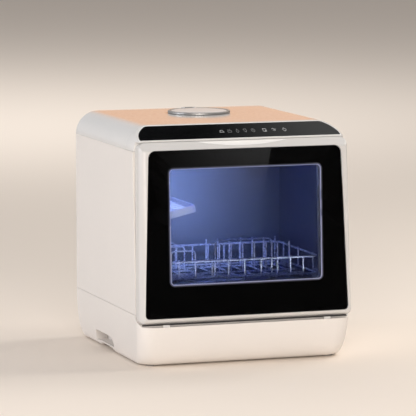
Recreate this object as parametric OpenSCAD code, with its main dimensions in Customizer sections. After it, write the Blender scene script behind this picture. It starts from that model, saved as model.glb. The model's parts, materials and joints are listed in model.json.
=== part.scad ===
// Countertop dishwasher: cabinet, drop-down glass door, wire rack, spray arms,
// filter, pumps, drying fan, water tank and fill lid, each as its own solid.
// Frame: origin at the centre of the footprint on the floor, +Z up, door facing -Y.

/* [Cabinet] */
// Overall width of the cabinet
body_w = 430; // [424:1:436]
// Height of the flat top above the floor
body_h = 455; // [453:1:457]
// Radius of the two long top corners
corner_r = 45; // [44:1:46]
// Wall thickness of the plastic shells
wall = 2.5; // [2:0.25:3]
// Radius of one rubber foot
foot_r = 9; // [8:0.5:11]

/* [Door] */
// Backward lean of the door
lean = 3; // [2.5:0.25:3.5]
// Thickness of the outer glass pane
glass_t = 4; // [3:0.5:4]
// Width of the clear window
window_w = 303; // [290:1:306]
// Height of the clear window
window_h = 218; // [205:1:220]
// Radius of the two hinge pins
pin_r = 4; // [3.5:0.25:4.5]

/* [Controls] */
// Thickness of the black control glass
strip_t = 2.4; // [2:0.1:2.6]
// Number of touch positions in the control glass
touch_n = 8; // [6:1:8]

/* [Rack] */
// Radius of the main rack wires
wire_r = 2; // [1.8:0.1:2]
// Radius of the thin rack wires and tines
thin_r = 1.6; // [1.4:0.1:1.7]
// Height of the upper rack rail above the lower one
rail_gap = 34; // [32:1:36]
// Resting tilt of the fold-up cup shelf
shelf_tilt = 13; // [10:1:15]

/* [Spray and filter] */
// Sweep radius of the lower spray arm
lower_arm_r = 138; // [120:1:140]
// Sweep radius of the upper spray arm
upper_arm_r = 88; // [70:1:90]
// Running clearance of rotating bores
run_c = 0.06; // [0.03:0.01:0.09]

/* [Water fill] */
// Radius of the round fill lid
lid_r = 62; // [58:1:63]
// Radius of the fill opening
fill_r = 38; // [32:1:40]

/* [Hidden] */
$fn = 48;
e = 0.01;
bw = body_w / 2;
yr = 215;                 // rear face
hy = -199; hz = 101;      // hinge axis, along X
nose = 15;                // radius of the door's rounded lower edge
dfr = -15.2;              // door front plane, door frame
drr = 15;                 // door rear plane, door frame
dtop = 326.6;             // door top, door frame
ledge = 79.5;            // height of the front ledge
seam = 16.5;              // cabinet front plane, door frame
seam_z = body_h - corner_r;
lidx = 6; lidy = 96;     // centre of the fill lid
rz = 158;                 // lower rack rail height
rx = 169;                 // rack half width
ryf = -140; ryb = 86;     // rack front and back
ax = 0; ay = -34;         // spray arm axis
fx = 92; fy = -100;       // filter axis

// ---------- helpers ----------
function arc(cx, cy, r, a0, a1, n) = [for (i = [0:n]) [cx + r * cos(a0 + (a1 - a0) * i / n), cy + r * sin(a0 + (a1 - a0) * i / n)]];
function ell(cx, cy, a, b, a0, a1, n) = [for (i = [0:n]) [cx + a * cos(a0 + (a1 - a0) * i / n), cy + b * sin(a0 + (a1 - a0) * i / n)]];
function rrp(x0, y0, x1, y1, r, n = 5) = concat(arc(x1 - r, y1 - r, r, 0, 90, n), arc(x0 + r, y1 - r, r, 90, 180, n),
  arc(x0 + r, y0 + r, r, 180, 270, n), arc(x1 - r, y0 + r, r, 270, 360, n));
module ex(x0, x1) { translate([x0, 0, 0]) rotate([90, 0, 90]) linear_extrude(x1 - x0) children(); }
module ey(y0, y1) { translate([0, y1, 0]) rotate([90, 0, 0]) linear_extrude(y1 - y0) children(); }
module ez(z0, z1) { translate([0, 0, z0]) linear_extrude(z1 - z0) children(); }
module box(a, b) { translate(a) cube([b[0] - a[0], b[1] - a[1], b[2] - a[2]]); }
module cx(r, x0, x1, y, z) { translate([x0, y, z]) rotate([0, 90, 0]) cylinder(r = r, h = x1 - x0); }
module cy(r, y0, y1, x, z) { translate([x, y1, z]) rotate([90, 0, 0]) cylinder(r = r, h = y1 - y0); }
module cz(r, z0, z1, x, y) { translate([x, y, z0]) cylinder(r = r, h = z1 - z0); }
module both() { children(); mirror([1, 0, 0]) children(); }
// Places its children in the door's own frame: hinge axis at the origin, leaning back
module dl() { translate([0, hy, hz]) rotate([-lean, 0, 0]) children(); }

// ---------- cabinet outlines ----------
function plan(i) = concat(arc(-(bw - 34), -(yr - 34), 34 - i, 180, 270, 12), arc(bw - 34, -(yr - 34), 34 - i, 270, 360, 12),
  arc(bw - 6, yr - 6, 6 - i, 0, 90, 5), arc(-(bw - 6), yr - 6, 6 - i, 90, 180, 5));
ts = 14; tf = 36; tr = 19;   // how far the foot of the cabinet tucks in at the sides, front and rear
function tuck(t, a) = a * (1 - sqrt(1 - pow(t, 1.96)));
function foot(s, w, i, a, n = 12) = [for (k = [0:n]) let(t = sin(90 * k / n)) [s * (w - i - tuck(t, a)), 95 - (92 - i) * t]];
function rev(v) = [for (k = [len(v) - 1:-1:0]) v[k]];
function base_sec(i) = concat(foot(-1, bw, i, ts), rev(foot(1, bw, i, ts)), [[bw - i, 130], [-(bw - i), 130]]);
// Side view of the base: curved foot edges, and a hollow at the front that clears the door's rounded lower edge
function base_side(i) = concat([for (p = foot(-1, yr + tuck((95 - ledge) / 92, tf), i, tf)) if (p[1] < ledge - i) p], rev(foot(1, yr, i, tr)),
  i == 0 ? [[yr, 99.6]] : [[yr - i, 130]],
  i == 0 ? [[hy + 17.6, 99.6]] : [[hy + 20.6, 130]],
  arc(hy, hz, 17.6 + i, -4, -60, 6), [[hy - 3 - i / 3, ledge - i]], [[-(yr - i), ledge - i]]);
function top_sec(i) = concat(arc(bw - corner_r, seam_z, corner_r - i, 0, 90, 12), arc(-(bw - corner_r), seam_z, corner_r - i, 90, 180, 12));
function band_sec(d) = concat([[bw - d, seam_z - 20]], arc(bw - corner_r - d, seam_z, corner_r, 0, 90, 12),
  arc(-(bw - corner_r - d), seam_z, corner_r, 90, 180, 12), [[-(bw - d), seam_z - 20]]);

// ---------- cabinet ----------
// Rounds a front corner of the base at angle th, following the tuck of the side and the front
function corner_w(th, t, i) = (bw - 34 - tuck(t, ts)) * cos(th) + (yr - 34 - tuck(t, tf)) * sin(th) + 34.9 - i;
module corner(th, i) {
  rotate([0, 0, -th]) ey(-500, 500) polygon(concat([[-500, 0], [corner_w(th, 1, i), 0]],
    [for (k = [12:-1:0]) let(t = sin(90 * k / 12)) [corner_w(th, t, i), 95 - (92 - i) * t]], [[corner_w(th, 0, i), 131], [-500, 131]]));
}
module base_shape(i) {
  intersection() {
    ey(-yr - 5, yr + 5) polygon(base_sec(i));
    ex(-bw - 5, bw + 5) polygon(base_side(i));
    ez(0, 131) polygon(plan(i));
    corner(30, i); mirror([1, 0, 0]) corner(30, i);
    corner(60, i); mirror([1, 0, 0]) corner(60, i);
  }
}
grip = [[89, 32], [-10, 33], [-17, 29.5], [-20, 22], [-20, 13.5], [70, 13.5], [98, 10.5], [94, 20]];   // side view of a lift pocket
rise = [[84, 2], [66, 10], [0, 10], [-24, 2]];                                             // raised lower edge under it
module base_housing() {
  color("#efe9e4") difference() {
    base_shape(0);
    base_shape(3);
    // service opening in the floor
    box([-120, -60, 0], [60, 90, 20]);
    // lift handles: a pocket in each side and a raised lower edge under it
    both() {
      ex(-bw - 5, -bw + 30) polygon(grip);
      ex(-bw - 5, -bw + 60) polygon(rise);
    }
    // rear window for the connections
    box([62, 195, 30], [192, 225, 82]);
    both() for (y = [-166, 166]) cz(3, 0, 20, 181, y);
    // slots for the hinge brackets, and holes for the service plate screws
    for (s = [-1, 1]) box([s * 150 - 5.5, -186, 96.5], [s * 150 + 5.5, -170, 104]);
    for (x = [-124, 64], y = [-64, 94]) { cz(2.1, 0, 12, x, y); cz(3.9, 0, 4.7, x, y); }
  }
  // pocket liners behind the lift handles, fused to the shell
  color("#efe9e4") both() difference() {
    intersection() { ex(-bw + 2, -bw + 33) polygon([[94, 35], [-12, 36], [-23, 31], [-23, 10], [-20, 3.5], [82, 3.5], [103, 8], [98, 22]]); base_shape(2.9); }
    ex(-bw - 5, -bw + 30) polygon(grip);
    ex(-bw - 5, -bw + 60) polygon(rise);
  }
}
module service_plate() { color("#bfc2c4") difference() { box([-128, -68, 6], [68, 98, 8]); for (x = [-124, 64], y = [-64, 94]) cz(2, 5, 9, x, y); } }
module rubber_feet() {
  color("#55504c") both() for (y = [-166, 166]) { cz(foot_r - 1, 0, 1.2, 181, y); cz(foot_r, 1.2 - e, 3, 181, y); cz(3, 3 - e, 6, 181, y); }
}
module side_panel() {
  color("#efe9e4") difference() {
    union() {
      ez(100.2, seam_z - 0.2) difference() {
        intersection() { polygon(plan(0)); translate([-bw - 1, -230]) square([16, 460]); }
        polygon(plan(wall));
      }
      box([-bw + wall - 0.5, 209.9, 104], [-183, yr - wall, 405]);
    }
    dl() box([-300, -80, -60], [300, seam, 340]);
    for (z = [112, 255, 398]) cy(1.92, 200, 230, -190, z);
  }
}
module top_cover() {
  color("#f2efec") difference() {
    intersection() {
      ey(-119, yr) polygon(top_sec(0));
      ez(seam_z, body_h + 1) polygon(plan(0));
    }
    intersection() {
      ey(-130, yr) translate([0, -1]) polygon(concat(top_sec(wall + 1), []));
      ez(seam_z - 2, body_h + 1) polygon(plan(wall));
    }
    box([-bw + wall, -130, seam_z - 2], [bw - wall, yr - wall, seam_z + 4]);
    cz(fill_r + 4, body_h - 20, body_h + 5, lidx, lidy);
    cz(3, body_h - 20, body_h + 5, lidx - 52, lidy);
    cz(3, body_h - 20, body_h + 5, lidx + 52, lidy);
  }
}
// slope of the control face in the side view
sy0 = -121; sz0 = body_h; sy1 = -178; sz1 = body_h - 26.6;
sa = atan((sz0 - sz1) / (sy0 - sy1));
function sz(y) = sz0 - (sy0 - y) * tan(sa);
module strip_shape(d, t, c) {
  intersection() {
    ex(-bw, bw) polygon([[-124.5 - c, sz(-124.5 - c) + (t > 3 ? 3 : 0)], [-173.6 + c, sz(-173.6 + c) + (t > 3 ? 3 : 0)],
      [-173.6 + c, sz(-173.6 + c) - d], [-124.5 - c, sz(-124.5 - c) - d]]);
    ey(-190, -110) polygon(band_sec(8 + c));
  }
}
module touch_at(k) { translate([-30.7 + 15.9 * k + (k > 4 ? 8.5 : 0) + (k > 5 ? 3.5 : 0) + (k > 6 ? 5 : 0), -150, sz(-150)]) rotate([sa, 0, 0]) children(); }
module control_housing() {
  color("#f2efec") difference() {
    intersection() {
      ey(-185, -119.4) polygon(top_sec(0));
      ex(-bw - 1, bw + 1) polygon([[-119.4, body_h], [sy0, sz0], [sy1, sz1], [-165.5, sz1], [-166.4, seam_z + 0.2], [-119.4, seam_z + 0.2]]);
    }
    intersection() {
      ey(-185, -110) translate([0, -1]) polygon(top_sec(4));
      ex(-bw - 1, bw + 1) polygon([[-110, sz(-121) - 4.7], [-121, sz(-121) - 4.7], [-162.4, sz(-162.4) - 4.7], [-163, seam_z - 3], [-110, seam_z - 3]]);
    }
    box([-bw + 3, -163, seam_z - 3], [bw - 3, -110, seam_z + 5]);
    strip_shape(strip_t / cos(sa), 4, 0);
    dl() box([-14, 10, 303], [14, 60, 320.5]);
    for (k = [0:touch_n - 1]) touch_at(k) translate([0, 0, -8]) cylinder(r = 3.1, h = 10);
  }
}
module control_glass() { color("#0b0c0e") strip_shape(strip_t / cos(sa), 0, 0.25); }
module icon_light_guide() {
  color("#dfe6ea") {
    for (k = [0:touch_n - 1]) touch_at(k) translate([0, 0, -8]) cylinder(r = 2.8, h = 8 - strip_t - 0.1);
    translate([0, -150, sz(-150)]) rotate([sa, 0, 0]) box([-38, -5, -10], [106, 5, -8 + e]);
  }
}
module control_board() {
  color("#2f6b3c") translate([0, -150, sz(-150)]) rotate([sa, 0, 0]) {
    box([-112, -9, -12.6], [118, 13, -11]);
    box([-90, -4, -16], [-70, 8, -12.6]);
  }
}
module rear_panel() {
  color("#dcd8d4") difference() {
    box([-199.6, yr - wall, 100.2], [199.6, yr, seam_z - 0.2]);
    box([78, 200, 286], [182, 230, 374]);
    for (x = [-190, 190], z = [112, 255, 398]) { cy(2.1, 200, 230, x, z); cy(3.8, 213.5, 230, x, z); }
  }
}
module vent_grille() {
  color("#c9c6c3") difference() {
    box([78.3, yr - wall, 286.3], [181.7, yr, 373.7]);
    for (k = [0:9]) box([86, 200, 292 + 8 * k], [174, 230, 296.4 + 8 * k]);
  }
}
// ---------- tub and front ----------
module tub() {
  color("#aeb4bd") difference() {
    union() {
      ey(-200, 114.5) polygon(rrp(-184.5, 113.5, 184.5, 404.5, 20));
      dl() ey(21.5, 24) polygon(rrp(-204, 8, 204, 308, 24));
    }
    ey(-220, 112) polygon(rrp(-182, 116, 182, 402, 18));
    dl() box([-300, -80, -60], [300, 21.5, 380]);
    cz(45, 100, 120, fx, fy);
    cz(12, 100, 120, ax, ay);
    cy(14, 100, 130, 130, 330);
    cz(8, 395, 410, ux, ay);
  }
  // ledges that carry the rack
  color("#aeb4bd") both() difference() {
    box([173.5, -180, 140], [182 + e, 112 + e, 146]); box([176, -180, 163.4], [182 + e, 112 + e, 165.4]);
    dl() box([-300, -80, -60], [300, 21.5, 380]);
  }
}
module front_frame() {
  color("#e9e4e0") difference() {
    dl() ey(seam, 19.5) polygon(rrp(-212.2, 6, 212.2, 310, 8));
    dl() ey(0, 40) polygon(rrp(-192.6, 6.6, 192.6, 309, 24));
    for (s = [-1, 1]) dl() box([s * 150 - 8, 0, -10], [s * 150 + 8, 40, 7]);
  }
}
module door_gasket() {
  color("#5b6068") difference() {
    dl() ey(15.4, 21.4) polygon(rrp(-192.2, 7, 192.2, 308.6, 24));
    dl() ey(0, 40) polygon(rrp(-182.6, 16.4, 182.6, 299, 17));
  }
}
module hinge_brackets() {
  color("#e6e6e4") for (s = [-1, 1]) translate([s * 150, 0, 0]) difference() {
    union() {
      cx(7, -3.5, 3.5, hy, hz);
      box([-3.5, hy, hz - 3.5], [3.5, -150, hz + 3.5]);
      box([-12, -173.4, hz + 3.4], [12, -150, 113.5]);
    }
    cx(pin_r, -20, 20, hy, hz);
  }
}
module hinge_pins() { color("#c8ccd0") for (s = [-1, 1]) cx(pin_r, s * 150 - 13, s * 150 + 13, hy, hz); }
// helical spring about X: mean radius R, wire radius w
function helix(R, w, n, p, turns, sides) = [for (i = [0:n * turns]) for (k = [0:sides - 1])
  let(a = 360 * i / n, b = 360 * k / sides, rr = R + w * cos(b)) [p * i / n + w * sin(b), rr * cos(a), rr * sin(a)]];
function tube_faces(rings, sides) = concat([[for (k = [sides - 1:-1:0]) k]],
  [for (i = [0:rings - 2]) for (k = [0:sides - 1]) [i * sides + (k + 1) % sides, (i + 1) * sides + (k + 1) % sides, (i + 1) * sides + k, i * sides + k]],
  [[for (k = [0:sides - 1]) (rings - 1) * sides + k]]);
module hinge_springs() {
  color("#8e9499") for (s = [-1, 1]) translate([s * 150 + (s > 0 ? -8.14 : 4.14), hy, hz])
    polyhedron(points = helix(6, 0.42, 12, 1, 4, 6), faces = tube_faces(49, 6), convexity = 6);
}
module door_rest_pads() { color("#f4f2ef") for (s = [-1, 1]) ex(s * 162.5 - 6.5, s * 162.5 + 6.5) polygon([[-211.6, ledge], [-211.6, 82.4], [-210.8, 83.2], [-207.8, 83.2], [-206.6, 82], [-206.6, ledge]]); }
module latch_housing() {
  color("#3b3e42") difference() {
    dl() box([-24, 24.4, 307.4], [24, 54, 326]);
    dl() box([-14.5, 20, 309.2], [14.5, 46, 320.5]);
  }
}
module reed_sensor() { color("#d8d8d8") dl() { box([26, 24.4, 308], [44, 33, 317]); cy(1.6, 33 - e, 38, 30, 312); cy(1.6, 33 - e, 38, 40, 312); } }
// ---------- water and power, behind and below the tub ----------
module water_tank() {
  color([0.85, 0.9, 0.95, 0.8]) difference() {
    box([-196, 119, 124], [44, 203, 396]);
    box([-193.5, 121.5, 126.5], [41.5, 200.5, 393.5]);
    cz(17, 390, 400, lidx, 148);
    cz(7, 120, 130, -150, 165);
  }
}
module fill_funnel() {
  color("#d9dcdf") difference() {
    union() { cz(fill_r + 4, 434, 454.4, lidx, lidy);
      hull() { cz(fill_r + 4, 434, 435, lidx, lidy, $fn = 32); cz(17, 406, 407, lidx, 148, $fn = 32); } 
      cz(17, 396.2, 407, lidx, 148); }
    cz(fill_r + 1.5, 434, 460, lidx, lidy);
    hull() { cz(fill_r + 1.5, 434, 435.5, lidx, lidy, $fn = 32); cz(14.5, 405, 406, lidx, 148, $fn = 32); }
    cz(14.5, 390, 407, lidx, 148);
  }
}
module fill_collar() {
  color("#c9ccd0") difference() {
    union() {
      cz(lid_r - 5, body_h, body_h + 1.6, lidx, lidy);
      cz(fill_r + 1.2, 440, body_h + 2.6, lidx, lidy);
      for (s = [-1, 1]) box([lidx + s * 11 - 3, lidy + lid_r - 8, body_h], [lidx + s * 11 + 3, lidy + lid_r + 6, body_h + 1.2]);
      for (s = [-1, 1]) hinge_ear(s);
    }
    cz(fill_r - 1, 430, 470, lidx, lidy);
  }
  color("#b0b4b8") cx(1.5, lidx - 14, lidx + 14, lidy + lid_r + 3, body_h + 3.4);
}
module hinge_ear(s) { difference() {
  union() { cx(2.9, lidx + s * 11 - 3, lidx + s * 11 + 3, lidy + lid_r + 3, body_h + 3.4);
    box([lidx + s * 11 - 3, lidy + lid_r + 0.4, body_h], [lidx + s * 11 + 3, lidy + lid_r + 5.6, body_h + 3.4]); }
  cx(1.5, lidx - 30, lidx + 30, lidy + lid_r + 3, body_h + 3.4); } }
px = -60; py = 40; pz = 70;   // wash pump axis, along X
ux = 62; uy = 128;            // upper spray arm axis and its standpipe
module wash_pump_volute() {
  color("#4a4d52") difference() {
    union() { cx(33, px, px + 30, py, pz); cx(10, px + 29, px + 52, py, pz); cx(8, px + 23, px + 30, py + 14, pz + 28); box([px + 6, py - 4, pz + 16], [px + 24, py + 30, pz + 38]); }
    cx(28, px + 3, px + 26, py, pz);
    cx(7, px + 20, px + 60, py, pz);
    cx(4.3, px - 5, px + 10, py, pz);
    box([px + 9, py + 8, pz + 10], [px + 21, py + 27, pz + 35]);
    cx(5.5, px + 20, px + 35, py + 14, pz + 28);
    cy(6, py + 20, py + 40, px + 15, pz + 28);
  }
}
module wash_pump_motor() {
  color("#9aa0a6") difference() { cx(29, px - 62, px, py, pz); cx(4 + run_c, px - 50, px + 5, py, pz); }
}
module wash_impeller() {
  color("#e3e3e3") { cx(24, px + 5, px + 8, py, pz); cx(6, px + 8 - e, px + 18, py, pz); cx(4, px - 49, px + 5 + e, py, pz);
    for (a = [0:60:300]) translate([px + 8 - e, py, pz]) rotate([a, 0, 0]) box([0, 5.5, -1], [10, 23, 1]); }
}
module drain_pump_body() {
  color("#5a5e63") difference() {
    union() { cy(20, 60, 82, 130, 66); cy(24, 82 - e, 118, 130, 66); cx(8, 98, 112, 71, 66); cy(8, 44, 61, 130, 66); }
    cy(16, 63, 79, 130, 66); cy(5.5, 30, 64, 130, 66); cx(5.5, 90, 116, 71, 66); cy(2 + run_c, 75, 110, 130, 66);
  }
}
module drain_impeller() { color("#e3e3e3") { cy(12, 74, 77, 130, 66); cy(2, 77 - e, 108, 130, 66); cy(3, 66, 74 + e, 130, 66);
  for (a = [0:90:270]) translate([130, 66, 66]) rotate([0, a, 0]) box([2.5, 0, -1], [12, 8 + e, 1]); } }
module flow_heater() { color("#b7bcc2") difference() { union() { cx(15, -172, -130, -90, 70); cx(8, -182, -172 + e, -90, 70); cx(8, -130 - e, -120, -90, 70); } cx(6, -190, -110, -90, 70); } }
module sump() {
  color("#6b7076") difference() {
    union() { cz(49, 56, 113.4, fx, fy); cy(8, -56, -42, fx, 70); cy(8, -76, -58, 130, 66); }
    cz(45.5, 59, 120, fx, fy); cy(6, -60, -40, fx, 70); cy(5.5, -80, -50, 130, 66);
  }
}
module fan_housing() {
  color("#3f4246") difference() {
    union() { box([84, 140, 288], [176, 176, 372]); cy(13.8, 114.6, 141, 130, 330); }
    cy(37, 144, 172, 130, 330); cy(11.5, 110, 145, 130, 330);
    box([90, 144, 296], [116, 172, 330]);
    cy(30, 165, 180, 130, 330);
    box([84 - 5, 150, 302], [95, 166, 320]);
  }
}
module fan_rotor() {
  color("#1f2124") difference() {
    union() { cy(34, 150, 153, 130, 330); cy(9, 150, 168, 130, 330);
      for (a = [0:30:330]) translate([130, 153 - e, 330]) rotate([0, a, 0]) box([26, 0, -0.9], [34, 14, 0.9]); }
    cy(3, 156, 170, 130, 330);
  }
}
module uv_lamp() {
  color("#8f9dff") { box([-70, 108.6, 372], [70, 112 - e, 384]); both() box([176, -60, 372], [182 - e, 40, 380]); }
}
module main_board() {
  color("#2f6b3c") { box([60, 196, 150], [180, 197.6, 270]); for (x = [70, 110, 150]) box([x, 178, 170], [x + 18, 196 + e, 190]); box([90, 180, 215], [140, 196 + e, 250]);
    for (x = [64, 176], z = [154, 266]) cy(2.4, 197.6 - e, yr - wall - 0.1, x, z); }
}
module connection_box() {
  color("#45484c") difference() {
    box([62.4, 186, 30.4], [191.6, 214.6, 81.6]);
    box([65, 188.5, 33], [189, 216, 79]);
    cy(9, 180, 190, 90, 66); cy(13.2, 180, 190, 128, 56); cy(10.9, 180, 190, 166, 56);
  }
}
module drain_spigot() {
  color("#8a8f94") difference() { union() { cy(9, 170, 213, 90, 66); cy(12, 188.5, 191, 90, 66); } cy(6, 160, 220, 90, 66); }
}
module water_inlet_valve() {
  color("#d7d9db") difference() { union() { cy(13.2, 176, 213, 128, 56); cy(17, 188.6, 192, 128, 56); box([112, 160, 40], [144, 176 + e, 72]); } cy(8, 180, 220, 128, 56); }
}
module cord_gland() { color("#2a2c2f") difference() { union() { cy(10.9, 178, 208, 166, 56); cy(14, 188.6, 193, 166, 56); } cy(4.2, 170, 220, 166, 56); } }
module drain_hose() {
  color("#9da2a8") {
    // from the drain pump to the spigot
    difference() { union() { cx(10, 80, 108, 71, 66); cy(10, 71, 182, 90, 66); translate([90, 71, 66]) sphere(10); } cx(8, 90, 120, 71, 66); cy(9, 170, 190, 90, 66); cy(6, 71, 180, 90, 66); translate([90, 71, 66]) sphere(8); }
    // from the sump to the drain pump
    difference() { cy(10, -56.5, 54, 130, 66); cy(8, -70, 60, 130, 66); }
  }
}
module suction_hose() {
  color("#9da2a8") difference() {
    union() { cx(12, px + 46, fx, py, pz); cy(12, -50, py, fx, pz); translate([fx, py, pz]) sphere(12); }
    cx(10, px, fx - 4, py, pz); cy(8, -60, py, fx, pz); translate([fx, py, pz]) sphere(9.5);
  }
}
module spray_riser() {
  color("#d5d8da") difference() {
    union() { cz(11.8, 88, 126.6, ax, ay); cz(8, 126, 140, ax, ay); cz(20, 108, 113.5, ax, ay); cy(8, ay, py + 14, ax, pz + 28); cx(8, px + 30, ax, py + 14, pz + 28); translate([ax, py + 14, pz + 28]) sphere(8); }
    cz(5.5, 92, 145, ax, ay); cy(5.5, ay, py + 14, ax, pz + 28); cx(5.5, px + 25, ax, py + 14, pz + 28); translate([ax, py + 14, pz + 28]) sphere(5.5);
  }
}
module upper_spray_feed() {
  color("#d5d8da") difference() {
    union() { cz(16, 398, 402 - e, ux, ay); cz(8, 372, 399, ux, ay); cz(7.8, 400, 420, ux, ay); cy(7.8, ay, uy, ux, 420); cz(7.8, pz + 28, 420, ux, uy); cx(7.8, px + 15, ux, uy, pz + 28); cy(7.8, py + 30, uy, px + 15, pz + 28);
      for (p = [[ux, ay, 420], [ux, uy, 420], [ux, uy, pz + 28], [px + 15, uy, pz + 28]]) translate(p) sphere(7.8); }
    cz(5, 370, 420, ux, ay); cy(5, ay, uy, ux, 420); cz(5, pz + 28, 420, ux, uy); cx(5, px + 15, ux, uy, pz + 28); cy(5, py + 20, uy, px + 15, pz + 28);
  }
}
module screw_y(x, y, z) { difference() { union() { cy(1.9, y - 9, y + 0.4, x, z); cy(3.6, y, y + 1.3, x, z); } box([x - 2.6, y + 0.6, z - 0.5], [x + 2.6, y + 4, z + 0.5]); box([x - 0.5, y + 0.6, z - 2.6], [x + 0.5, y + 4, z + 2.6]); } }
module panel_screws() {
  color("#9a9ea3") { for (x = [-190, 190], z = [112, 255, 398]) screw_y(x, 213.5, z);
    for (x = [-124, 64], y = [-64, 94]) { cz(1.9, 4.5, 14, x, y); cz(3.6, 3.2, 4.6, x, y); } }
}
// ---------- door, in its own frame ----------
glz0 = -6; glz1 = 311.5;               // glass bottom and top
function glass_pts(d) = let(b = 204.4 - d, t = 194 - d, r = 8, q = 14) concat(
  arc(t - q, glz1 - d - q, q, 0, 90, 6), arc(-(t - q), glz1 - d - q, q, 90, 180, 6),
  arc(-(b - r), glz0 + d + r, r, 180, 270, 5), arc(b - r, glz0 + d + r, r, 270, 360, 5));
wz0 = 57; wz1 = wz0 + window_h; ww = window_w / 2;
// side view of the door: rounded lower edge about the hinge axis, crowned top
function door_side() = concat(arc(0, 0, nose, 0, -90, 8), [[-2, -15]], arc(dfr + 12, -3, 12, -90 - 10, -180, 5),
  [[dfr, 308.5], [-14.9, 310.4], [-14.2, 312], [1.2, 325.7], [2, 326.3], [2.9, 326.6], [3.6, 326.5], [drr, 321]]);
function door_plan(i) = concat([[-bw + i, 30], [-bw + i, 0]], arc(-(bw - 15), dfr + 15, 15 - i, 180, 270, 6),
  arc(bw - 15, dfr + 15, 15 - i, 270, 360, 6), [[bw - i, 0], [bw - i, 30]]);
function door_face(i) = let(sx = bw - 0.5, tx = bw - 4.5, r = 14, k = dtop + 0.5 - r) concat([[sx, -6]], arc(tx - r, k, r, 0, 90, 7),
  arc(-(tx - r), k, r, 90, 180, 7), [[-sx, -6]],
  arc(-(sx - 9), -6, 9, 180, 270, 4), arc(sx - 9, -6, 9, 270, 360, 4));
module door_frame() {
  color("#f2efec") dl() difference() {
    intersection() {
      ex(-bw - 1, bw + 1) polygon(door_side());
      ez(-20, 340) polygon(door_plan(0));
      ey(-30, 30) polygon(door_face(0));
    }
    // glass seat
    ey(-30, -10) polygon(glass_pts(-0.3));
    // hollow behind the glass
    ey(-7.6, 20) polygon(rrp(-206, 17, 206, 309, 10));
    ey(-12, 0) polygon(rrp(-ww - 12, wz0 - 12, ww + 12, wz1 + 12, 14));
    // rebate for the liner
    ey(11.9, 20) polygon(rrp(-208.4, 12, 208.4, 316.3, 8));
    // finger scoop along the top edge
    scoop();
    // slots that let the hinge brackets pass from the rear face to the lower edge
    for (s = [-1, 1]) box([s * 150 - 5.6, -8.2, -20], [s * 150 + 5.6, 20, 8.2]);
    for (s = [-1, 1]) box([s * 150 - 13.4, -8.2, -8.2], [s * 150 + 13.4, 20, 18]);
  }
}
module scoop() { intersection() { translate([0, -10, 317.5]) rotate([-15, 0, 0]) translate([0, 0, 400]) rotate([90, 0, 0]) cylinder(r = 400, h = 60, center = true, $fn = 160); box([-95, -20, 305], [95, 4, 345]); } }
module door_glass() { color([0.6, 0.65, 0.75, 0.35]) dl() ey(-14.9, -14.9 + glass_t - 0.1) polygon(glass_pts(0)); }
module glass_border() {
  color("#060607") dl() difference() { ey(-11, -10.1) polygon(glass_pts(0.4)); ey(-20, 0) polygon(rrp(-ww, wz0, ww, wz1, 7)); }
}
module window_spacer() {
  color("#c9ccd6") dl() difference() { ey(-10, 8.8) polygon(rrp(-ww - 4, wz0 - 4, ww + 4, wz1 + 4, 10)); ey(-20, 20) polygon(rrp(-ww - 1, wz0 - 1, ww + 1, wz1 + 1, 8)); }
}
module inner_pane() { color([0.6, 0.65, 0.75, 0.35]) dl() ey(8.9, 11.8) polygon(rrp(-ww - 8, wz0 - 8, ww + 8, wz1 + 8, 10)); }
module door_liner() {
  color("#d5d7da") dl() difference() {
    union() { ey(12, drr) polygon(rrp(-208.1, 12.3, 208.1, 316, 8)); }
    ey(0, 20) polygon(rrp(-ww - 2, wz0 - 2, ww + 2, wz1 + 2, 8));
    for (s = [-1, 1]) box([s * 150 - 14, 0, 0], [s * 150 + 14, 20, 18]);
  }
}
module door_strike() { color("#c8ccd0") dl() difference() { box([-11, drr, 311], [11, 40, 317]); box([-4, 24, 309], [4, 34, 320]); } }
module hinge_lugs() {
  color("#c8ccd0") dl() for (s = [-1, 1], t = [-1, 1]) translate([s * 150 + t * 10.9, 0, 0]) difference() {
    union() { cx(7.6, -2.1, 2.1, 0, 0); box([-2.1, -7.6, 0], [2.1, 7.6, 17.5]); }
    cx(pin_r + run_c, -20, 20, 0, 0);
  }
}
// ---------- rack ----------
module ring(x, y0, y1, z, r, R) {
  cx(r, -x + R, x - R, y0, z); cx(r, -x + R, x - R, y1, z);
  both() cy(r, y0 + R, y1 - R, x, z);
  for (s = [0, 1], q = [0, 1]) translate([0, (y0 + y1) / 2, z]) mirror([s, 0, 0]) mirror([0, q, 0])
    translate([x - R, (y1 - y0) / 2 - R, 0]) rotate_extrude(angle = 90) translate([R, 0]) circle(r);
}
module rack_rails() {
  color("#aab0ba") union() {
    ring(rx, ryf, ryb, rz, wire_r, 14);
    ring(rx, ryf, ryb, rz + rail_gap, wire_r, 14);
    // corner posts join the two rails
    for (s = [-1, 1]) { cz(thin_r, rz, rz + rail_gap + 4, s * (rx), -112); cz(thin_r, rz, rz + rail_gap + 4, s * rx, -30); cz(thin_r, rz, rz + rail_gap + 4, s * rx, 52); }
    // side frame that carries the cup shelf
    cz(wire_r, rz + rail_gap, 270, -rx, -105); cz(wire_r, rz + rail_gap, 270, -rx, 40);
    cy(wire_r, -105, 40, -rx, 270); translate([-rx, -105, 270]) sphere(wire_r); translate([-rx, 40, 270]) sphere(wire_r);
  }
}
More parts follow.
